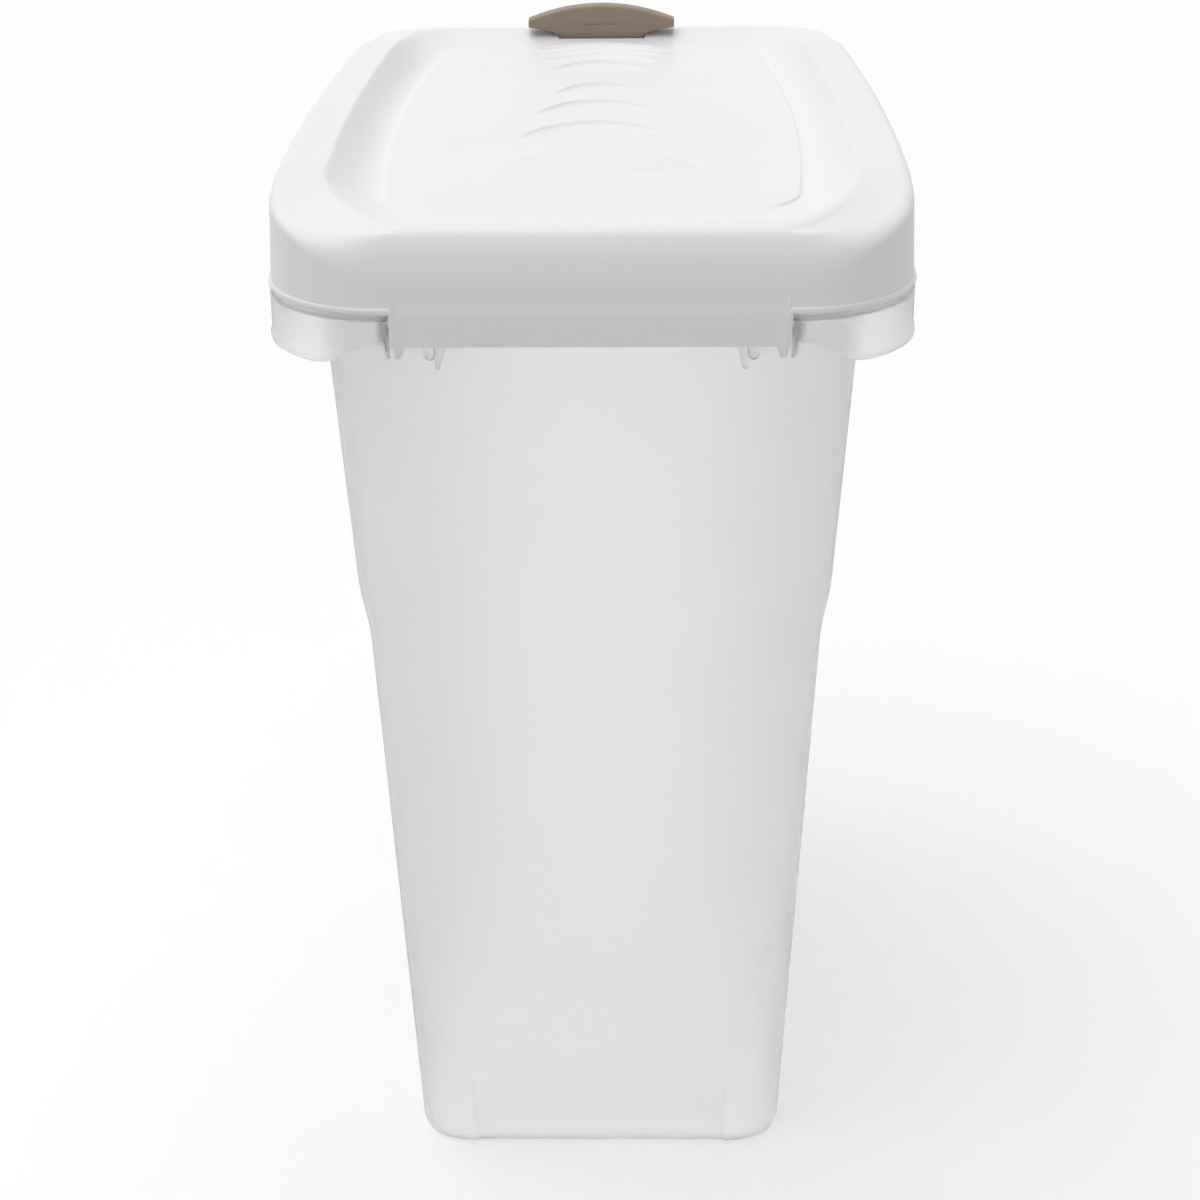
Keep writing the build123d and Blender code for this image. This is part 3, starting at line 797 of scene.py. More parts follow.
@dataclass(frozen=True)
class Ripple:
    """One moulded crescent on the lid: a ridge along an arc that falls away to a bowed near edge."""

    half_width: float
    top_y: float
    tip_y: float
    edge_y: float
    rise: float = 3.3
    step: float = 1.5
    curl: float = 13.0
    groove: float = 0.6

    @property
    def radius(self) -> float:
        """Gives the radius of the arc."""
        sag = self.top_y - self.tip_y
        return (self.half_width ** 2 + sag ** 2) / (2.0 * sag)

    def covers(self, x: float, y: float, reach: float) -> bool:
        """Tells whether a place lies on the crescent or within reach of it."""
        inside = math.hypot(x, y - self.top_y + self.radius) < self.radius + reach
        return inside and y > min(self.edge_y, self.tip_y) - reach and abs(x) < self.half_width + reach

    def beside(self, x: float, y: float, reach: float) -> bool:
        """Tells whether a place lies within reach of the crescent's arc."""
        off = abs(math.hypot(x, y - self.top_y + self.radius) - self.radius)
        return off < reach and self.covers(x, y, reach)


def ripple_group() -> bpy.types.GeometryNodeTree:
    """Builds the group that gives one crescent's height over each point of the lid."""
    tree = bpy.data.node_groups.new("ripple_height", "GeometryNodeTree")
    names = ("Half Width", "Top", "Tip", "Radius", "Edge", "Rise", "Groove", "Step", "Curl", "Fade", "Cut")
    group_sockets(tree, [("Position", "NodeSocketVector", None), *[(n, FLOAT, 0.0) for n in names]],
                  [("Height", FLOAT)])
    sheet = Sheet(tree)
    given = sheet.add("NodeGroupInput").outputs
    place = sheet.add("ShaderNodeSeparateXYZ", {0: given["Position"]}).outputs
    x, y = place["X"], place["Y"]
    radius, step = given["Radius"], given["Step"]
    middle = sheet.sum("SUBTRACT", given["Top"], radius)
    from_middle = sheet.sum("SUBTRACT", y, middle)
    x_square = sheet.sum("MULTIPLY", x, x)
    distance = sheet.sum("SQRT", sheet.sum("MULTIPLY_ADD", from_middle, from_middle, x_square))
    inside = sheet.sum("SUBTRACT", radius, distance)
    left_over = sheet.sum("SUBTRACT", sheet.sum("MULTIPLY", radius, radius), x_square)
    reach = sheet.sum("SQRT", sheet.sum("MAXIMUM", left_over, 0.0))
    half_square = sheet.sum("MULTIPLY", given["Half Width"], given["Half Width"])
    bowed = sheet.sum("MINIMUM", sheet.sum("DIVIDE", x_square, half_square), 1.2)
    edge = sheet.sum("MULTIPLY_ADD", sheet.sum("SUBTRACT", given["Tip"], given["Edge"]), bowed, given["Edge"])
    depth = sheet.sum("SUBTRACT", sheet.sum("ADD", middle, reach), edge)
    behind = sheet.sum("SUBTRACT", y, edge)
    back = sheet.sum("MAXIMUM", sheet.sum("MINIMUM", step, sheet.sum("MULTIPLY", depth, 0.5)), 0.0001)
    run = sheet.sum("MAXIMUM", sheet.sum("SUBTRACT", depth, back), 0.0001)
    share = sheet.add("ShaderNodeClamp", {0: sheet.sum("DIVIDE", behind, run)})
    full_depth = sheet.sum("SUBTRACT", given["Top"], given["Edge"])
    taper = sheet.add("ShaderNodeClamp", {0: sheet.sum("DIVIDE", depth, full_depth)}).outputs[0]
    tip = sheet.sum("MULTIPLY", sheet.sum("POWER", taper, 0.7), sheet.ease(depth, 0.0, given["Fade"]))
    rim = sheet.ease(inside, 0.0, back)
    slope = sheet.sum("POWER", share.outputs[0], given["Curl"])
    raised = sheet.sum("MULTIPLY", sheet.sum("MULTIPLY", slope, rim), tip)
    cut = given["Cut"]
    outer = sheet.ease(inside, sheet.sum("MULTIPLY", cut, -1.6), sheet.sum("MULTIPLY", cut, -0.9))
    inner = sheet.ease(inside, sheet.sum("MULTIPLY", cut, -0.7), sheet.sum("MULTIPLY", cut, 0.3))
    sunk = sheet.sum("MULTIPLY", sheet.sum("SUBTRACT", outer, inner), tip)
    sunk = sheet.sum("MULTIPLY", sunk, sheet.ease(behind, 0.0, cut))
    height = sheet.sum("SUBTRACT", sheet.sum("MULTIPLY", raised, given["Rise"]),
                       sheet.sum("MULTIPLY", sunk, given["Groove"]))
    sheet.add("NodeGroupOutput", {"Height": height})
    return tree


def relief_tree(ripples: Sequence[Ripple], low: float) -> bpy.types.GeometryNodeTree:
    """Builds the nodes that raise the crescents on the lid's panel.

    Args:
        ripples: The crescents.
        low: The height in millimetres below which nothing moves.

    Returns:
        The tree, with named inputs for the length over which a crescent's tips fade, the width of the groove
        behind it and the material.
    """
    sheet, given = start_tree("lid_relief", {"Fade": 0.003, "Cut": 0.0015})
    place = sheet.add("GeometryNodeInputPosition").outputs[0]
    group = ripple_group()
    total = None
    for ripple in ripples:
        sizes = {"Half Width": ripple.half_width, "Top": ripple.top_y, "Tip": ripple.tip_y,
                 "Radius": ripple.radius, "Edge": ripple.edge_y, "Rise": ripple.rise, "Groove": ripple.groove,
                 "Step": ripple.step}
        inputs = {name: value * MM for name, value in sizes.items()}
        inputs |= {"Curl": ripple.curl, "Position": place, "Fade": given["Fade"], "Cut": given["Cut"]}
        one = sheet.add("GeometryNodeGroup", inputs, node_tree=group)
        total = one.outputs[0] if total is None else sheet.sum("ADD", total, one.outputs[0])
    height = sheet.add("ShaderNodeSeparateXYZ", {0: place}).outputs["Z"]
    above = sheet.ease(height, low * MM, (low + 1.0) * MM)
    lift = sheet.add("ShaderNodeCombineXYZ", {2: sheet.sum("MULTIPLY", total, above)}).outputs[0]
    moved = sheet.add("GeometryNodeSetPosition", {"Geometry": given["Geometry"], "Offset": lift}).outputs[0]
    return end_tree(sheet, moved, given["Material"])


def refine(piece: bpy.types.Object, cuts: int, chosen: Callable[[float, float, float], bool]) -> None:
    """Divides some of a mesh's faces further.

    Args:
        piece: The piece.
        cuts: How many cuts each edge gets.
        chosen: Tells from a face's middle in millimetres whether it is divided.
    """
    work = bmesh.new()
    work.from_mesh(piece.data)
    edges = set()
    for face in work.faces:
        if chosen(*(face.calc_center_median() / MM)):
            edges.update(face.edges)
    bmesh.ops.subdivide_edges(work, edges=list(edges), cuts=cuts, use_grid_fill=True)
    work.to_mesh(piece.data)
    work.free()


# The lid


@dataclass
class Lid:
    """The white lid: a dished shell with a raised panel, crescents, rolled edge, ears and seal channel."""

    edge_z: float = LID_LOW[2] + 18.7
    apron_z: float = LID_LOW[2] + 4.5
    wall: float = 2.4
    notch_half: float = 84.1
    trough_z: float = 477.0
    crest_z: float = 490.2
    near_crest: tuple[float, float] = (-194.4, 480.5)
    far_crest: tuple[float, float] = (195.0, 481.5)
    near_slope: float = 0.1765
    far_slope: float = 0.107
    crease_softness: float = 0.35
    near_recess: float = 0.7
    side_shoulder: float = 4.2
    near_shoulder: float = 27.0
    near_lean: float = 35.0
    roll_half: float = 135.0
    roll_fade: float = 50.0
    bead_radius: float = 1.5
    bead_proud: float = 0.4
    bead_turn: float = 2.5
    bead_clearance: float = 1.4
    edge_inset: float = 0.75
    panel_rise: float = 1.2
    ear_lean: float = 1.3
    ear_low: float = 9.4
    ear_inner: float = 79.5
    ear_back: float = -194.2
    far_shoulder: float = 10.0
    corner: Corner = Corner(50.0, 50.0)
    far_corner: Corner = Corner(30.0, 30.0)
    field_half: float = 53.0
    field_near: float = -107.0
    field_far: float = 173.0
    tip_fade: float = 3.0
    groove_width: float = 1.5
    fine_reach: float = 4.2
    rib_offsets: tuple[float, float] = (-2.6, 4.6)
    rib_half: float = 0.9
    boss_inner: float = 23.8
    boss_outer: float = 28.8
    boss_radius: float = 5.0
    ripples: tuple[Ripple, ...] = (
        Ripple(47.4, -62.3, -95.8, -101.9, rise=2.8, step=1.8, curl=1.0, groove=0.8),
        Ripple(47.4, -62.3, -95.8, -101.9, rise=2.4, step=9.0, curl=1.0, groove=0.0),
        Ripple(40.2, -17.0, -46.0, -54.6),
        Ripple(32.7, 26.5, 1.6, -6.5),
        Ripple(24.8, 63.5, 44.0, 34.7, rise=3.2, curl=12.0),
        Ripple(26.7, 115.0, 100.2, 90.0, rise=3.0, curl=10.0),
        Ripple(32.6, 136.0, 121.3, 126.0, rise=2.2, step=2.0, curl=3.0, groove=0.0),
        Ripple(36.4, 149.5, 135.1, 139.4, rise=2.2, step=2.0, curl=3.0, groove=0.0),
        Ripple(40.4, 159.1, 146.8, 151.3, rise=2.0, step=1.8, curl=3.0, groove=0.0),
        Ripple(32.4, 169.4, 163.6, 161.8, rise=1.5, step=2.0, curl=2.0, groove=0.0),
    )
    spacing: Spacing = Spacing(ends=shares((0.675, 18), (0.958, 4), (1.0, 1)),
                               sides=shares((0.08, 3), (1.0, 87)), corner=18)

    def top(self, y: np.ndarray) -> np.ndarray:
        """Gives the height of the lid's crest at a depth y."""
        near = self.near_crest[1] + np.maximum(y - self.near_crest[0], 0.0) * self.near_slope
        far = self.far_crest[1] + np.maximum(self.far_crest[0] - y, 0.0) * self.far_slope
        return soft_lowest([near, far, np.full_like(y, self.crest_z)], self.crease_softness)

    def roll(self, place: np.ndarray, near: np.ndarray) -> np.ndarray:
        """Gives how much of the near end's wide shoulder each point has."""
        return near * smooth((self.roll_half - np.abs(place[:, 0])) / self.roll_fade)

    def shoulder_drop(self, place: np.ndarray, near: np.ndarray, far: np.ndarray) -> np.ndarray:
        """Gives how far the shoulder reaches down the wall."""
        wider = (self.near_shoulder - self.side_shoulder) * self.roll(place, near)
        return self.side_shoulder + wider + self.far_shoulder * far

    def crest_drop(self, near: np.ndarray) -> np.ndarray:
        """Gives how far the crest rounds off towards the outside."""
        return 0.1 + 1.7 * near

    def band_drop(self, near: np.ndarray) -> np.ndarray:
        """Gives how far the border falls towards the outside."""
        return self.crest_drop(near) + 0.4 * (1.0 - near) + 6.0 * near * (1.0 - near) + 0.5 * near

    def wall_height(self, share: float, place: np.ndarray, near: np.ndarray, far: np.ndarray) -> np.ndarray:
        """Gives the heights a share of the way from the lower edge to the foot of the shoulder."""
        foot = self.top(place[:, 1]) - self.shoulder_drop(place, near, far) - self.band_drop(near)
        return mix(self.edge_z, foot, share)

    def shoulder_height(self, side_lift: float, near_lift: float, place: np.ndarray, near: np.ndarray,
                        far: np.ndarray) -> np.ndarray:
        """Gives the heights on the shoulder, by its lift at the sides and at the near end."""
        lift = mix(side_lift, near_lift, self.roll(place, near))
        drop = self.shoulder_drop(place, near, far) * (1.0 - lift)
        return self.top(place[:, 1]) - drop - self.band_drop(near)

    def band_height(self, share: float, place: np.ndarray, near: np.ndarray, far: np.ndarray) -> np.ndarray:
        """Gives the heights a share of the way across the flat border."""
        return self.top(place[:, 1]) - mix(self.band_drop(near), self.crest_drop(near), share)

    def crest_height(self, share: float, place: np.ndarray, near: np.ndarray, far: np.ndarray) -> np.ndarray:
        """Gives the heights a share of the way over the rounded crest."""
        return self.top(place[:, 1]) - self.crest_drop(near) * (1.0 - share) ** 2

    def slope_height(self, share: float, place: np.ndarray, near: np.ndarray, far: np.ndarray) -> np.ndarray:
        """Gives the heights a share of the way down the dished slope inside the border."""
        eased = share * share / (share + 0.07) * 1.07
        fall = 1.0 - (1.0 - eased) ** 1.9
        return mix(self.top(place[:, 1]), self.trough_z, fall)

    def panel_height(self, lift: float, place: np.ndarray, near: np.ndarray, far: np.ndarray) -> np.ndarray:
        """Gives the heights a share of the way from the trough up to the panel."""
        return np.full(len(place), self.trough_z + self.panel_rise * lift)

    def stations(self) -> list[tuple[Ring, Callable[[np.ndarray, np.ndarray, np.ndarray], np.ndarray]]]:
        """Lists the shell's rings from the lower edge to the panel, each with its height as a function."""
        side, outer, outer_far = lid_side(), self.corner, self.far_corner
        near_wall, far_wall = side.near_y + self.near_recess, side.far_y
        edge = Ring(side, self.edge_inset, self.edge_inset, near_wall, far_wall, outer, outer_far)
        wall_top = Ring(side, 2.1, 2.1, near_wall + 0.9, far_wall - 0.8, outer, outer_far)
        crest_out = Ring(side, 21.7, 19.2, -198.4, 194.2, Corner(37.0, 53.0, 1.6), Corner(19.0, 24.0, 1.9))
        crest_in = Ring(side, 24.4, 21.5, -193.8, 188.4, Corner(34.5, 51.0, 1.55), Corner(17.0, 22.0, 1.9))
        panel_side = Side(80.6, 72.2, side.near_y, side.far_y, 17.6)
        trough = Ring(panel_side, -4.2, -3.6, -161.5, 165.0, Corner(19.0, 30.0, 1.8), Corner(13.0, 16.0))
        panel = Ring(panel_side, -1.0, -1.0, -155.0, 159.0, Corner(12.0, 19.0), Corner(9.0, 12.0))
        steepest, flattest = math.radians(88.0), math.radians(self.near_lean)
        side_reach, near_reach, far_reach = 5.0, crest_out.near_y - wall_top.near_y - 0.6, 11.0
        made = []
        for share in (0.0, 0.1, 0.3, 0.5, 0.7, 0.86, 1.0):
            made.append((edge.toward(wall_top, share), partial(self.wall_height, share)))
        for angle in (8, 17, 27, 37, 47, 57, 67, 77, 84, 90):
            out, lift = 1.0 - math.cos(math.radians(angle)), math.sin(math.radians(angle))
            lean = mix(steepest, flattest, angle / 90.0)
            near_out = (math.sin(steepest) - math.sin(lean)) / (math.sin(steepest) - math.sin(flattest))
            near_lift = (math.cos(lean) - math.cos(steepest)) / (math.cos(flattest) - math.cos(steepest))
            inset = wall_top.near_inset + side_reach * out
            ring = Ring(side, inset, inset, wall_top.near_y + near_reach * near_out,
                        wall_top.far_y - far_reach * out, outer.toward(crest_out.near_corner, 0.35 * out),
                        outer_far.toward(crest_out.far_corner, 0.5 * out))
            made.append((ring, partial(self.shoulder_height, lift, near_lift)))
        shoulder_top = made[-1][0]
        for share in (0.2, 0.45, 0.7, 0.88, 1.0):
            made.append((shoulder_top.toward(crest_out, share), partial(self.band_height, share)))
        for share in (0.25, 0.5, 0.75, 1.0):
            made.append((crest_out.toward(crest_in, share), partial(self.crest_height, share)))
        for share in (0.025, 0.06, 0.11, 0.18, 0.28, 0.4, 0.53, 0.67, 0.83, 1.0):
            made.append((crest_in.toward(trough, share), partial(self.slope_height, share)))
        for share, lift in ((0.35, 0.0), (0.6, 0.05), (0.75, 0.3), (0.88, 0.68), (1.0, 0.92), (1.15, 1.0)):
            made.append((trough.toward(panel, share), partial(self.panel_height, lift)))
        return made

    def shell(self) -> bpy.types.Object:
        """Builds the shell's outer skin, raises its crescents and gives it its wall."""
        spacing = self.spacing
        rings, points = [], []
        for ring, height in self.stations():
            loop, near, far = ring.points(spacing)
            rings.append(np.arange(len(loop)) + len(points) * len(loop))
            points.append(np.column_stack([loop, height(loop, near, far)]))
        grid = patch(points[-1], spacing)
        faces: list[tuple[int, ...]] = list(bridge(rings))
        flat_points = np.concatenate(points)
        nx, ny = spacing.across, spacing.along
        index = np.zeros((nx + 1, ny + 1), int)
        index[:, 0], index[nx, :], index[:, ny], index[0, :] = four_sides(rings[-1], spacing)
        start = len(flat_points)
        index[1:-1, 1:-1] = start + np.arange((nx - 1) * (ny - 1)).reshape(nx - 1, ny - 1)
        flat_points = np.concatenate([flat_points, grid[1:-1, 1:-1].reshape(-1, 3)])
        for i in range(nx):
            faces += [(index[i, j], index[i + 1, j], index[i + 1, j + 1], index[i, j + 1]) for j in range(ny)]
        corner = spacing.corner // 2 + 1
        rows = [[rings[0][i] for i in range(corner, nx - corner + 1)]]
        for z in np.linspace(self.edge_z, self.apron_z, 6)[1:]:
            first = len(flat_points)
            row = flat_points[rows[0]].copy()
            row[:, 2] = z
            flat_points = np.concatenate([flat_points, row])
            rows.append(list(range(first, first + len(row))))
        faces += bridge(rows[::-1], closed=False)
        piece = make_piece("lid_shell", flat_points, faces, Slot.LID)
        thicken(piece, self.wall)
        low = self.trough_z - 1.0

        def in_field(x: float, y: float, z: float) -> bool:
            """Tells whether a place lies on the part of the panel that the crescents fill."""
            return z > low and abs(x) < self.field_half and self.field_near < y < self.field_far

        def at_edge(x: float, y: float, z: float) -> bool:
            """Tells whether a place lies close to a crescent's arc."""
            close = (one.beside(x, y, self.fine_reach) and one.covers(x, y, 1.0) for one in self.ripples)
            return z > low and any(close)

        refine(piece, 2, in_field)
        refine(piece, 1, at_edge)
        relief = piece.modifiers.new("relief", "NODES")
        relief.node_group = relief_tree(self.ripples, low)
        set_inputs(relief, {"Fade": self.tip_fade * MM, "Cut": self.groove_width * MM,
                            "Material": MATERIALS[Slot.LID]})
        return settle(piece)

    def bead_path(self) -> tuple[np.ndarray, np.ndarray]:
        """Gives the rolled edge's path from one ear's tip round to the other's, and its size along it."""
        side = lid_side()
        inset = self.bead_radius - self.bead_proud
        ring = Ring(side, inset, inset, side.near_y + self.near_recess + 0.85, side.far_y - inset + 0.6,
                    self.corner, self.far_corner)
        spacing = Spacing(ends=shares((0.9, 3), (0.958, 1), (1.0, 2)), sides=shares((1.0, 40)), corner=20)
        loop, _, _ = ring.points(spacing)
        z = self.edge_z + self.bead_radius
        start = spacing.across - spacing.corner // 2 - 2
        end = spacing.corner // 2 + 2
        order = np.arange(start, len(loop) + end + 1) % len(loop)
        line = np.column_stack([loop[order], np.full(len(order), z)])
        turn, tip = self.bead_turn, HINGE[2] - self.ear_low + 0.6
        x, y = self.notch_half - self.bead_clearance, line[0, 1]
        side_from = -150.0
        line = line[(np.abs(line[:, 0]) > x + turn) | (line[:, 1] > side_from)]
        down = []
        for z_down in np.linspace(tip, z - turn, 8):
            down.append((x - self.ear_lean * (z - z_down) / (z - tip), y, z_down))
        for angle in (22.5, 45.0, 67.5, 90.0):
            a = math.radians(angle)
            down.append((x + turn * (1.0 - math.cos(a)), y, z - turn * (1.0 - math.sin(a))))
        right = np.array(down)
        left = right[::-1] * (-1.0, 1.0, 1.0)
        path = np.concatenate([right, line, left])
        ramp = np.concatenate([[0.5, 0.7, 0.8], np.full(5, 0.84), [0.87, 0.91, 0.96, 1.0]])
        return path, np.concatenate([ramp, np.ones(len(line)), ramp[::-1]])

    def ear(self, side: int) -> bpy.types.Object:
        """Makes the lug at one end of the apron, with its sloping inner face."""
        inner, outer = self.ear_inner, self.notch_half - 0.9
        front = LID_LOW[1] + self.near_recess
        tip_z, root_z = HINGE[2] - self.ear_low, self.edge_z + 7.0
        sections = []
        for z, near, thick in ((tip_z, 1.4, 0.55), (tip_z + 2.0, 1.2, 0.85), (self.apron_z, 0.0, 1.0),
                               (HINGE[2], 0.0, 1.0), (self.edge_z, 0.0, 0.75), (self.edge_z + 3.5, 0.3, 0.45),
                               (root_z, 1.6, 0.3)):
            lean = self.ear_lean * max(0.0, self.edge_z - z) / (self.edge_z - tip_z)
            x_out = outer - lean
            x_in = x_out - (outer - inner) * thick
            far = HINGE[1] + 3.5 if z < HINGE[2] else self.ear_back
            proud = 0.35 if z < self.edge_z + 3.0 else 0.2
            ring = [(x_in, front + near), (x_out, front + min(near, 0.3) - proud), (x_out, far), (x_in, far)]
            ring = [(side * x, y, z) for x, y in ring]
            sections.append(np.array(ring if side > 0 else ring[::-1]))
        piece = loft("lid_ear", sections, Slot.LID)
        return round_edges(piece, 0.35, 2, 50.0, harden=False)

    def channel(self, shell: bpy.types.Object) -> list[bpy.types.Object]:
        """Makes the two ribs that hold the seal, each up to the underside of the shell.

        Args:
            shell: The shell that they hang from.

        Returns:
            The ribs.
        """
        tree = BVHTree.FromPolygons([v.co for v in shell.data.vertices],
                                    [tuple(p.vertices) for p in shell.data.polygons])
        ribs = []
        low, web = SEAL_HIGH[2] - 2.0, SEAL_HIGH[2] + 1.0
        spacing = Spacing(shares((1.0, 12)), shares((1.0, 30)), 12)
        for offset in self.rib_offsets:
            insets = (-offset, -offset - self.rib_half, -offset + self.rib_half)
            loop, outward, inward = (Bin().mouth_ring(inset).points(spacing)[0] for inset in insets)
            top = []
            for x, y in loop:
                hit = tree.ray_cast(Vector((x * MM, y * MM, web * MM)), Vector((0.0, 0.0, 1.0)))[0]
                top.append(hit.z / MM + 0.8 if hit else self.trough_z)
            heights = np.array(top)
            rings = []
            for line, z in ((inward, heights), (inward, low + 0.4), (0.3 * outward + 0.7 * inward, low),
                            (0.7 * outward + 0.3 * inward, low), (outward, low + 0.4), (outward, heights)):
                rings.append(np.column_stack([line, np.broadcast_to(z, len(line))]))
            points = np.concatenate(rings)
            index = np.arange(len(points)).reshape(len(rings), len(loop))
            faces = bridge([*index, index[0]])
            ribs.append(make_piece("lid_rib", points, faces, Slot.LID))
        return ribs

    def bosses(self) -> list[bpy.types.Object]:
        """Makes the two bosses under the far border that hold the latch's pin."""
        made, radius = [], self.boss_radius
        for side in (-1, 1):
            low, high = sorted((side * self.boss_inner, side * self.boss_outer))
            turn = np.radians(np.linspace(180.0, 360.0, 13))
            outline = [(PIVOT[1] + radius * math.cos(a), PIVOT[2] + radius * math.sin(a)) for a in turn]
            outline += [(PIVOT[1] + radius, 479.5), (PIVOT[1] - radius, 478.5)]
            made.append(bevelled_prism("latch_boss", outline, "X", low, high, 0.4, Slot.LID))
        return made

    def cut_slot(self, piece: bpy.types.Object) -> None:
        """Opens the slot in the far border that the latch's neck rises through."""
        near, far = PIVOT[1] - 7.6, PIVOT[1] + 3.3
        low, high = PIVOT[2] + self.boss_radius, 500.0
        outline = [(near, low), (far, low), (far, high), (near, high)]
        cutter = bevelled_prism("slot_cutter", outline, "X", -self.boss_inner, self.boss_inner, 0.8, Slot.LID)
        cut = piece.modifiers.new("slot", "BOOLEAN")
        cut.operation = "DIFFERENCE"
        cut.solver = "EXACT"
        cut.object = cutter
        settle(piece)
        bpy.data.objects.remove(cutter)

    def build(self) -> bpy.types.Object:
        """Builds the whole lid and hangs it on its body."""
        shell = self.shell()
        self.cut_slot(shell)
        path, sizes = self.bead_path()
        width = 2.0 * self.bead_radius
        bead = sweep("lid_bead", path, False, width, width, Slot.LID, sizes)
        parts = [shell, bead, self.ear(-1), self.ear(1), *self.channel(shell), *self.bosses()]
        lid = join("white_lid", parts)
        sharpen(lid, 50.0)
        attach(lid, "lid")
        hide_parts("lid")
        return lid


# The bin


@dataclass
class Bin:
    """The frosted bin: a tapered body with a waist, a foot, a rim plate, a grip skirt and its ribs."""

    wall: float = 2.2
    base_half: float = 90.2
    taper: float = 0.0502
    waist: tuple[float, float] = (275.0, 306.0)
    waist_step: float = 3.0
    upper_taper: float = 0.0139
    base_depth: float = 172.8
    mouth_depth: float = 188.0
    narrowing: float = 12.0
    bow: float = 3.0
    corner: Corner = Corner(21.5, 28.0, 2.0)
    mouth_corner: Corner = Corner(24.0, 26.0)
    foot_width: float = 14.0
    foot_height: float = 1.6
    edge_radius: float = 1.0
    rim_under: float = RIM_TOP - 2.4
    skirt_low: float = RIM_TOP - 22.9
    skirt_raised: float = RIM_TOP - 13.0
    lip_proud: float = 0.6
    notch_half: float = 84.6
    flute_share: float = 0.9
    flute_top: float = 66.0
    flute_proud: float = 1.3
    edge_fall: float = 1.0
    mouth_round: float = 1.5
    plate_inset: float = 2.6
    flange_inset: float = 0.2
    flange_round: float = 0.6
    spacing: Spacing = Spacing(ends=shares((0.88, 9), (0.92, 5), (0.9647, 2), (1.0, 1)),
                               sides=shares((1.0, 26)), corner=16)

    def half(self, z: float) -> float:
        """Gives the body's half width at its near end at a height."""
        step = float(smooth((z - self.waist[0]) / (self.waist[1] - self.waist[0])))
        upper = self.upper_taper * max(0.0, z - self.waist[1])
        return self.base_half + self.taper * z + self.waist_step * step + upper

    def depth(self, z: float) -> float:
        """Gives the body's half depth at a height."""
        return mix(self.base_depth, self.mouth_depth, z / self.rim_under)

    def body_ring(self, z: float, inset: float, corner: Optional[Corner] = None) -> Ring:
        """Gives the body's line at a height, pulled in by an inset."""
        depth, half = self.depth(z), self.half(z)
        side = Side(half, half - self.narrowing, -depth, depth, self.bow)
        shape = corner or self.corner.toward(self.mouth_corner, z / self.rim_under)
        shape = Corner(max(shape.across - inset, 4.0), max(shape.along - inset, 4.0), shape.power)
        return Ring(side, inset, inset, inset - depth, depth - inset, shape, shape)

    def mouth_ring(self, inset: float) -> Ring:
        """Gives the line of the bin's mouth, pulled in by an inset."""
        return self.body_ring(self.rim_under, inset)

    def flange_ring(self, inset: float, share: float = 1.0) -> Ring:
        """Gives a line between the mouth and the flange's outer edge.

        Args:
            inset: How far it is pulled in from the flange's outer edge.
            share: How far out it lies, from 0 at the mouth to 1 at the edge.

        Returns:
            The ring.
        """
        side, mouth = lid_side(), self.mouth_ring(self.wall)
        near_gap = mouth.edge(np.array(side.near_y)) - side.half(np.array(side.near_y))
        far_gap = mouth.edge(np.array(side.far_y)) - side.half(np.array(side.far_y))
        near_y = mix(mouth.near_y, side.near_y + 0.5 + inset, share)
        far_y = mix(mouth.far_y, side.far_y - inset, share)
        return Ring(side, mix(-near_gap, inset, share), mix(-far_gap, inset, share), near_y, far_y,
                    mouth.near_corner.toward(Lid.corner, share),
                    mouth.far_corner.toward(Lid.far_corner, share))

    def skirt_bottom(self, loop: np.ndarray, near: np.ndarray) -> np.ndarray:
        """Gives the height of the skirt's lower edge, which rises beside the notch."""
        ramp = 1.0 - smooth((np.abs(loop[:, 0]) - 92.0) / 24.0)
        return mix(self.skirt_low, self.skirt_raised, ramp * (near > 0.0))

    def body_rings(self) -> list[np.ndarray]:
        """Lists the inner skin's rings from the middle of the floor to the mouth."""
        rings = []

        def add(ring: Ring, z: float) -> None:
            """Adds a level ring."""
            loop, near, far = ring.points(self.spacing)
            reach = (ring.edge(loop[:, 1]) - ring.near_corner.across) * self.flute_share
            off = np.abs(loop[:, 0]) - reach
            ridge = smooth(off / 1.2 + 0.5) * (1.0 - smooth((off - 0.6) / 8.0))
            swell = self.flute_proud * ridge * (1.0 - smooth(z / self.flute_top))
            loop[:, 1] += np.sign(loop[:, 1]) * swell * (near + far > 0.3)
            rings.append(np.column_stack([loop, np.full(len(loop), z)]))

        low, floor = self.wall, self.wall + self.foot_height
        for inset, z in ((60.0, floor), (self.foot_width + 3.0, floor), (self.foot_width + 1.0, floor - 0.15),
                         (self.foot_width - 0.5, low + 0.25), (self.foot_width - 2.5, low), (8.0, low)):
            add(self.body_ring(0.0, inset), z)
        for angle in (15, 35, 55, 75, 90):
            out, lift = math.sin(math.radians(angle)), 1.0 - math.cos(math.radians(angle))
            z = low + self.edge_radius * lift
            add(self.body_ring(z, self.wall + self.edge_radius * (1.0 - out)), z)
        heights = [*np.linspace(12.0, 262.0, 15), *np.linspace(268.0, 314.0, 13),
                   *np.linspace(326.0, 441.0, 9)]
        for z in heights:
            add(self.body_ring(z, self.wall), z)
        return rings

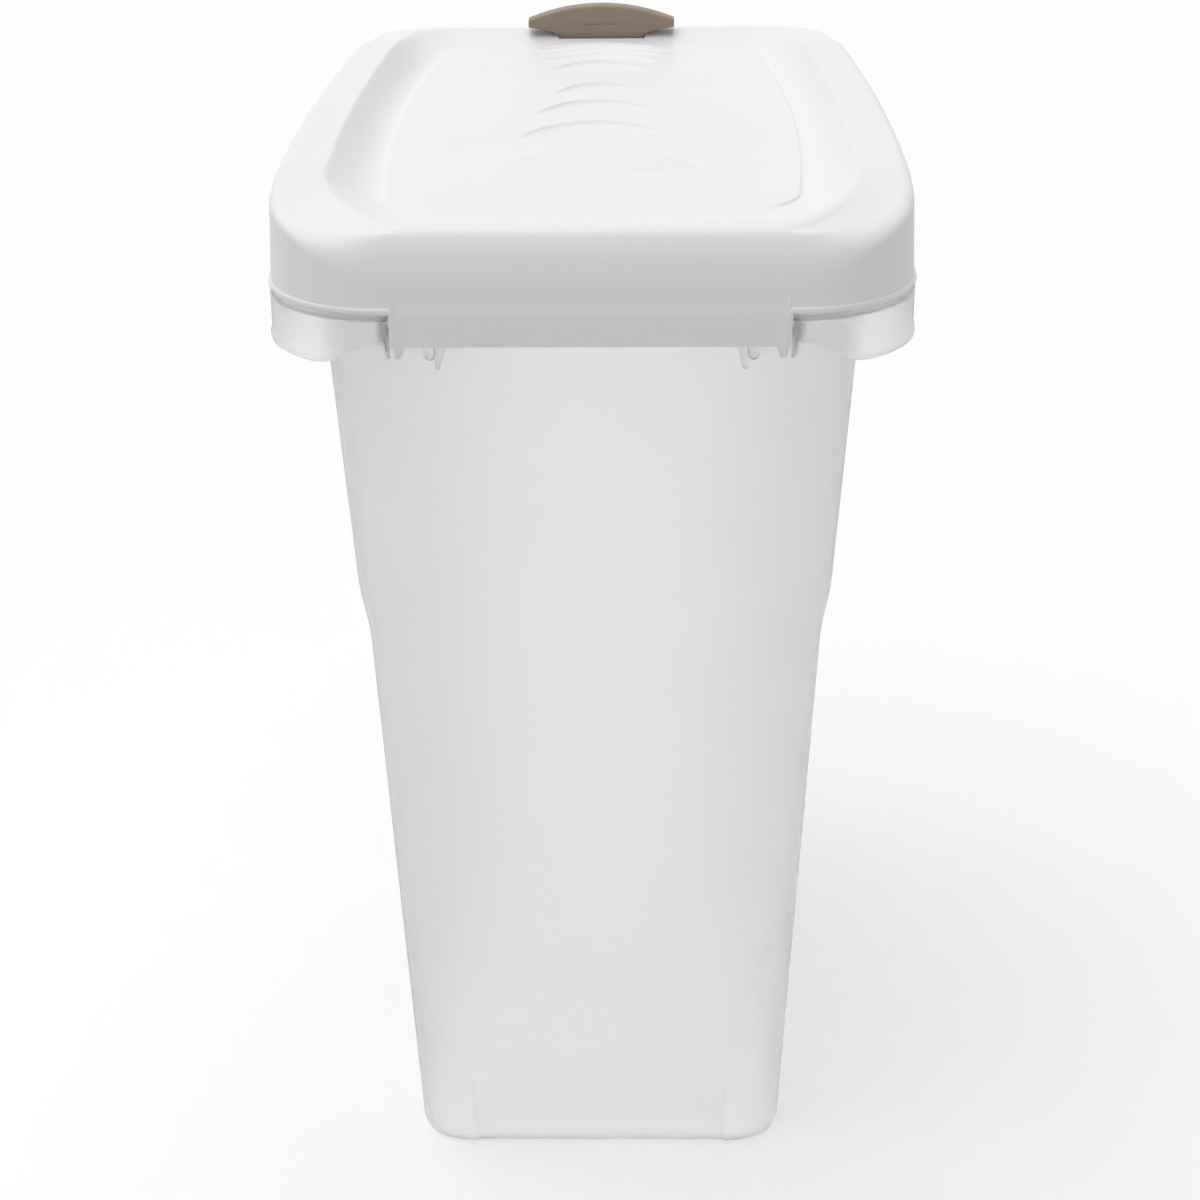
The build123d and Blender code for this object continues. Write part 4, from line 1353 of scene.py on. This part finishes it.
    def shell(self) -> bpy.types.Object:
        """Builds the inner skin of body, rim and skirt, and gives it its wall."""
        rings = self.body_rings()
        spacing = self.spacing
        z_top = RIM_TOP
        for angle in (20, 50, 90):
            out, lift = 1.0 - math.cos(math.radians(angle)), math.sin(math.radians(angle))
            ring = self.mouth_ring(self.wall - self.mouth_round * out)
            rings.append(ring.level(spacing, z_top - self.mouth_round * (1.0 - lift)))
        open_from = len(rings)
        for share in (0.25, 0.5, 0.75):
            ring = self.flange_ring(self.plate_inset, share)
            rings.append(ring.level(spacing, z_top - self.edge_fall * share ** 4))
        z_top -= self.edge_fall
        inset, radius = self.flange_inset, self.flange_round
        for angle in (0, 25, 50, 70, 90):
            out, lift = math.sin(math.radians(angle)), math.cos(math.radians(angle))
            ring = self.flange_ring(inset + radius * (1.0 - out))
            rings.append(ring.level(spacing, z_top - radius * (1.0 - lift)))
        for share, proud in ((0.15, 0.0), (0.4, 0.0), (0.6, 0.0), (0.76, 0.0), (0.82, 0.35), (0.88, 0.85),
                             (0.94, 1.0), (0.985, 0.75), (1.0, 0.3)):
            loop, near, _ = self.flange_ring(inset - self.lip_proud * proud).points(spacing)
            bottom = self.skirt_bottom(loop, near)
            rings.append(np.column_stack([loop, mix(z_top - radius, bottom, share)]))
        count = len(rings[0])
        first, last = spacing.corner // 2 + 1, spacing.across - spacing.corner // 2 - 1
        rings[open_from][first : last + 1, 1] = -(self.mouth_depth + 5.5)
        points = np.concatenate(rings)
        index = np.arange(len(points)).reshape(len(rings), count)
        faces = []
        for k, face in enumerate(bridge(index)):
            row, step = divmod(k, count)
            if row < open_from or not first <= step < last:
                faces.append(tuple(face[::-1]))
        centre = len(points)
        points = np.concatenate([points, [rings[0].mean(axis=0)]])
        faces += [(index[0][i], index[0][(i + 1) % count], centre) for i in range(count)]
        piece = make_piece("bin_shell", points, faces, Slot.BIN)
        return thicken(piece, self.wall)

    def hinge_rib(self, side: int) -> bpy.types.Object:
        """Makes the gusset at one end of the notch that carries a hinge pin."""
        root, low, under = 1.0 - self.mouth_depth, HINGE[2] - 9.6, RIM_TOP - 2.6
        face, front = LID_LOW[1] + 1.0, LID_LOW[1] + 0.4
        outline = [(face, under), (face, HINGE[2]), (HINGE[1] - 3.9, low), (HINGE[1] + 4.5, low),
                   (root, HINGE[2]), (root, RIM_TOP - 1.4)]
        edge = [(front, under), (front, HINGE[2]), (HINGE[1] - 4.5, low), (HINGE[1] - 2.9, low),
                (front + 1.6, HINGE[2]), (front + 1.6, under)]
        made = []
        for shape, start, end in ((outline, 1.0, 2.6), (edge, 0.0, 3.6)):
            left, right = sorted((side * (self.notch_half + start), side * (self.notch_half + end)))
            made.append(bevelled_prism("hinge_rib", shape, "X", left, right, 0.5, Slot.BIN))
        rib = join("hinge_rib", made)
        for vertex in rib.data.vertices:
            fall = max(0.0, HINGE[2] - vertex.co.z / MM) / 8.5
            vertex.co.x -= side * fall * (0.4 + 1.3 * (abs(vertex.co.x) / MM > self.notch_half + 1.8)) * MM
        return rib

    def stop_rib(self, side: int) -> list[bpy.types.Object]:
        """Makes the small rib and spike under the near rim, where the apron stops when the lid is open."""
        low, spike_low = HINGE[2] - 16.6, HINGE[2] - 20.2
        top, face, middle = self.rim_under, -self.depth(low), side * 67.0
        lobe = ((-0.6, top), (-0.4, low + 1.8), (1.0, low + 0.3), (2.6, low), (4.2, low + 0.9),
                (5.0, low + 3.0), (5.4, top))
        wedge = ((0.4, top), (0.2, low - 0.4), (-0.2, spike_low), (-2.2, spike_low), (-3.2, low + 0.4),
                 (-4.6, low + 8.0), (-5.0, top))
        made = []
        for name, shape, proud, radius in (("stop_rib", lobe, 2.6, 0.7), ("stop_spike", wedge, 3.4, 0.5)):
            outline = [(middle + side * x, z) for x, z in shape]
            made.append(bevelled_prism(name, outline, "Y", face - proud, face + 1.5, radius, Slot.BIN))
        return made

    def build(self) -> bpy.types.Object:
        """Builds the whole bin and sets it on its body."""
        parts = [self.shell(), self.hinge_rib(-1), self.hinge_rib(1), *self.stop_rib(-1), *self.stop_rib(1)]
        piece = join("frosted_bin", parts)
        sharpen(piece, 50.0)
        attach(piece, "bin")
        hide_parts("bin")
        return piece


# The latch, the seal and the hardware


@dataclass
class Latch:
    """The brown thumb latch: a lens-shaped tab on a flared neck, a hub, an arm and a hook."""

    half: float = 40.0
    end_low: float = 484.5
    end_high: float = 488.5
    foot: float = 480.8
    top: float = LATCH_HIGH[2]
    near: float = 6.6
    far: float = 4.0
    edge: float = 1.5
    neck_half: float = 23.0
    rim_plate: float = 2.4
    hook_gap: float = 0.5

    def lens(self, steps: int = 44) -> np.ndarray:
        """Gives the tab's outline in XZ, anticlockwise as seen from the near side."""
        def arc(end_z: float, mid_z: float, x: np.ndarray) -> np.ndarray:
            """Gives heights on the arc through both ends and the middle."""
            sag = mid_z - end_z
            radius = (self.half ** 2 + sag ** 2) / (2.0 * abs(sag))
            drop = radius - np.sqrt(radius ** 2 - x ** 2)
            return mid_z - math.copysign(1.0, sag) * drop

        x = self.half * np.cos(np.linspace(math.pi, 0.0, steps))
        low = np.column_stack([x, arc(self.end_low, self.foot, x)])
        high = np.column_stack([x[::-1], arc(self.end_high, self.top, x[::-1])])
        return np.concatenate([low, high])

    def tab(self) -> bpy.types.Object:
        """Makes the tab with its rounded rim and slightly crowned faces."""
        outline = self.lens()
        ahead = np.roll(outline, -1, axis=0) - np.roll(outline, 1, axis=0)
        inward = np.column_stack([-ahead[:, 1], ahead[:, 0]]) / np.linalg.norm(ahead, axis=1)[:, None]
        middle = np.array([0.0, (self.end_low + self.end_high) / 2.0])
        low, high = PIVOT[1] - self.near, PIVOT[1] + self.far
        rings = []

        def add(scale: float, inset: float, y: float) -> None:
            """Adds a ring across the tab."""
            line = middle + (outline + inward * inset - middle) * scale
            rings.append(np.column_stack([line[:, 0], np.full(len(line), y), line[:, 1]]))

        cap = (0.15, 0.5, 0.8, 0.93, 0.99)
        angles = (90, 70, 50, 30, 12)
        for scale in cap:
            add(scale, self.edge, low + 0.25 * scale ** 3)
        for angle in angles:
            a = math.radians(angle)
            add(1.0, self.edge * (1.0 - math.cos(a)), low + 0.25 + self.edge * (1.0 - math.sin(a)))
        for angle in angles[::-1]:
            a = math.radians(angle)
            add(1.0, self.edge * (1.0 - math.cos(a)), high - 0.25 - self.edge * (1.0 - math.sin(a)))
        for scale in cap[::-1]:
            add(scale, self.edge, high - 0.25 * scale ** 3)
        return loft("latch_tab", rings, Slot.LATCH)

    def neck(self) -> bpy.types.Object:
        """Makes the neck, flared where it meets the tab."""
        turn = np.linspace(0.0, 2.0 * math.pi, 48, endpoint=False)
        rings = []
        centre_y, deep = PIVOT[1] - 1.75, 4.25
        for z, flare in ((PIVOT[2], 0.0), (478.0, 0.0), (479.5, 0.25), (480.6, 1.0), (481.4, 2.4),
                         (482.0, 4.4), (482.6, 7.0), (484.0, 9.0)):
            across = (self.neck_half + flare) * squared_off(np.cos(turn))
            along = (deep + min(flare, 3.0) * 0.2) * squared_off(np.sin(turn))
            rings.append(np.column_stack([across, centre_y + along, np.full(len(turn), z)]))
        return loft("latch_neck", rings, Slot.LATCH)

    def lever(self) -> list[bpy.types.Object]:
        """Makes the hub, the arm and the hook that reaches through the bin's rim."""
        plate = RIM_TOP - self.rim_plate - self.hook_gap
        y, z = PIVOT[1], PIVOT[2]
        arm, hook, end = z - 12.5, y + 13.0, y + 16.5
        outline = [(y, z), (y, arm), (hook, arm), (hook, plate), (hook - 2.2, plate), (hook, LATCH_LOW[2]),
                   (end, LATCH_LOW[2]), (end, z - 6.5), (y + 5.0, z - 4.5), (y + 5.0, z)]
        hub = rod("latch_hub", 5.0, -self.neck_half, self.neck_half, PIVOT, Slot.LATCH)
        return [hub, bevelled_prism("latch_arm", outline, "X", -12.0, 12.0, 0.5, Slot.LATCH)]

    def build(self) -> bpy.types.Object:
        """Builds the whole latch and hangs it on its body."""
        latch = join("thumb_latch", [self.tab(), self.neck(), *self.lever()])
        sharpen(latch, 45.0)
        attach(latch, "latch")
        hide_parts("latch")
        return latch


@dataclass
class Seal:
    """The soft ring in the lid's channel: a foot with two rounded lips that close on the rim."""

    middle: float = 1.0
    foot_width: float = 4.6

    def build(self) -> bpy.types.Object:
        """Builds the seal and hangs it on the lid."""
        spacing = Spacing(shares((1.0, 14)), shares((1.0, 36)), 14)
        parts = []
        for offset, z, width, height in ((self.middle, SEAL_HIGH[2] - 0.95, self.foot_width, 1.7),
                                         (self.middle - 1.3, SEAL_LOW[2] + 1.35, 1.9, 2.6),
                                         (self.middle + 1.3, SEAL_LOW[2] + 1.35, 1.9, 2.6)):
            path = Bin().mouth_ring(-offset).level(spacing, z)
            parts.append(sweep("seal_strand", path, True, height, width, Slot.SEAL, profile=Profile.LIP))
        seal = join("soft_seal_ring", parts)
        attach(seal, "lid")
        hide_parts("lid_seal")
        return seal


@dataclass
class Hardware:
    """The pins and the spring, whose CAD shapes are right as they are."""

    finishes: dict[str, Slot] = field(default_factory=lambda: {
        "hinge_pin_left": Slot.PIN, "hinge_pin_right": Slot.PIN, "latch_pin": Slot.PIN,
        "latch_spring": Slot.SPRING})

    def dress(self) -> list[bpy.types.Object]:
        """Gives each CAD node its finish."""
        dressed = []
        for name, slot in self.finishes.items():
            node = frame["nodes"][name]
            for place in range(max(1, len(node.material_slots))):
                if not node.material_slots:
                    node.data.materials.append(MATERIALS[slot])
                node.material_slots[place].material = MATERIALS[slot]
            dressed.append(node)
        return dressed


# The stage


@dataclass
class Studio:
    """A pale floor, soft lamps and the photograph's camera."""

    floor_size: float = 14.0
    camera_place: tuple[float, float, float] = (0.02014, -1.2095, 0.774)
    pitch: float = 24.6
    yaw: float = -0.977
    roll: float = -0.509
    lens: float = 75.48
    sensor: float = 36.0
    floor_diffuse: float = 0.8
    floor_bounce: float = 0.7
    floor_glow: float = 0.222
    floor_reflected: float = 0.885
    sky_strength: float = 0.4
    lamp_direction: tuple[float, float, float] = (-0.25, 0.1, 0.95)
    lamp_spread: float = 76.0
    lamp_strength: float = 1.8

    def floor(self) -> bpy.types.Object:
        """Makes the floor, whose whiteness to the camera is its own and not from more light."""
        s = self.floor_size / 2.0
        mesh = bpy.data.meshes.new("floor")
        mesh.from_pydata([(-s, -s, 0.0), (s, -s, 0.0), (s, s, 0.0), (-s, s, 0.0)], [], [(0, 1, 2, 3)])
        floor = show(bpy.data.objects.new("floor", mesh))
        material, sheet = new_material("pale_floor")
        material.node_tree.nodes.remove(material.node_tree.nodes["Principled BSDF"])
        rays = sheet.add("ShaderNodeLightPath").outputs
        matte, fuller = (sheet.add("ShaderNodeBsdfDiffuse", {"Color": (grey, grey, grey, 1.0)}).outputs[0]
                         for grey in (self.floor_diffuse, self.floor_bounce))
        glow, mirrored = (sheet.add("ShaderNodeEmission", {"Color": WHITE, "Strength": strength}).outputs[0]
                          for strength in (self.floor_glow, self.floor_reflected))
        pale = sheet.add("ShaderNodeAddShader", {0: matte, 1: glow}).outputs[0]
        through = sheet.sum("MAXIMUM", rays["Is Glossy Ray"], rays["Is Transmission Ray"])
        lit = sheet.add("ShaderNodeMixShader", {0: rays["Is Camera Ray"], 1: fuller, 2: pale}).outputs[0]
        whole = sheet.add("ShaderNodeMixShader", {0: through, 1: lit, 2: mirrored}).outputs[0]
        out = next(n for n in material.node_tree.nodes if n.type == "OUTPUT_MATERIAL")
        sheet.feed(out, {"Surface": whole})
        mesh.materials.append(material)
        return floor

    def world(self) -> None:
        """Sets an even pale sky, white to the camera."""
        world = bpy.data.worlds.new("studio_sky")
        world.use_nodes = True
        bpy.context.scene.world = world
        sheet = Sheet(world.node_tree)
        background = world.node_tree.nodes["Background"]
        rays = sheet.add("ShaderNodeLightPath").outputs
        seen = sheet.sum("MAXIMUM", sheet.sum("MAXIMUM", rays["Is Camera Ray"], rays["Is Glossy Ray"]),
                         rays["Is Transmission Ray"])
        strength = sheet.add("ShaderNodeMapRange", {0: seen, 3: self.sky_strength, 4: 1.0}).outputs[0]
        sheet.feed(background, {"Color": WHITE, "Strength": strength})

    def lamp(self, name: str, toward: Vector, spread: float, strength: float) -> None:
        """Adds a broad soft lamp so far away that it lights everything evenly.

        Args:
            name: The lamp's name.
            toward: The direction from the object to the lamp.
            spread: The angle that the lamp fills, in degrees.
            strength: The light that falls square to it, in watts per square metre.
        """
        data = bpy.data.lights.new(name, "SUN")
        data.angle = math.radians(spread)
        data.energy = strength
        lamp = show(bpy.data.objects.new(name, data))
        lamp.rotation_euler = toward.to_track_quat("Z", "Y").to_euler()

    def camera(self) -> None:
        """Sets the camera where the photograph was taken from."""
        p, y, r = (math.radians(a) for a in (self.pitch, self.yaw, self.roll))
        ahead = Vector((math.sin(y) * math.cos(p), math.cos(y) * math.cos(p), -math.sin(p)))
        level = Vector((math.cos(y), -math.sin(y), 0.0))
        up = level.cross(ahead)
        right = level * math.cos(r) + up * math.sin(r)
        top = up * math.cos(r) - level * math.sin(r)
        data = bpy.data.cameras.new("camera")
        data.sensor_fit = "HORIZONTAL"
        data.sensor_width = self.sensor
        data.lens = self.lens
        camera = show(bpy.data.objects.new("camera", data))
        turned = Matrix((right, top, -ahead)).transposed().to_4x4()
        camera.matrix_world = Matrix.Translation(self.camera_place) @ turned
        bpy.context.scene.camera = camera

    def build(self) -> None:
        """Sets up the stage, the lamps and the camera."""
        self.floor()
        self.world()
        self.lamp("top_lamp", Vector(self.lamp_direction), self.lamp_spread, self.lamp_strength)
        self.camera()
        bpy.context.scene.view_settings.view_transform = "Standard"


def main() -> None:
    """Builds the keeper piece by piece and sets the stage round it."""
    logging.basicConfig(level=logging.INFO, format="%(message)s")
    for maker in (Bin(), Lid(), Latch(), Seal()):
        piece = maker.build()
        LOG.info("%s: %d vertices", piece.name, len(piece.data.vertices))
    for node in Hardware().dress():
        LOG.info("%s: CAD shape with its own finish", node.name)
    Studio().build()
    LOG.info("stage, lamps and camera are set")


if __name__ == "__main__":
    main()
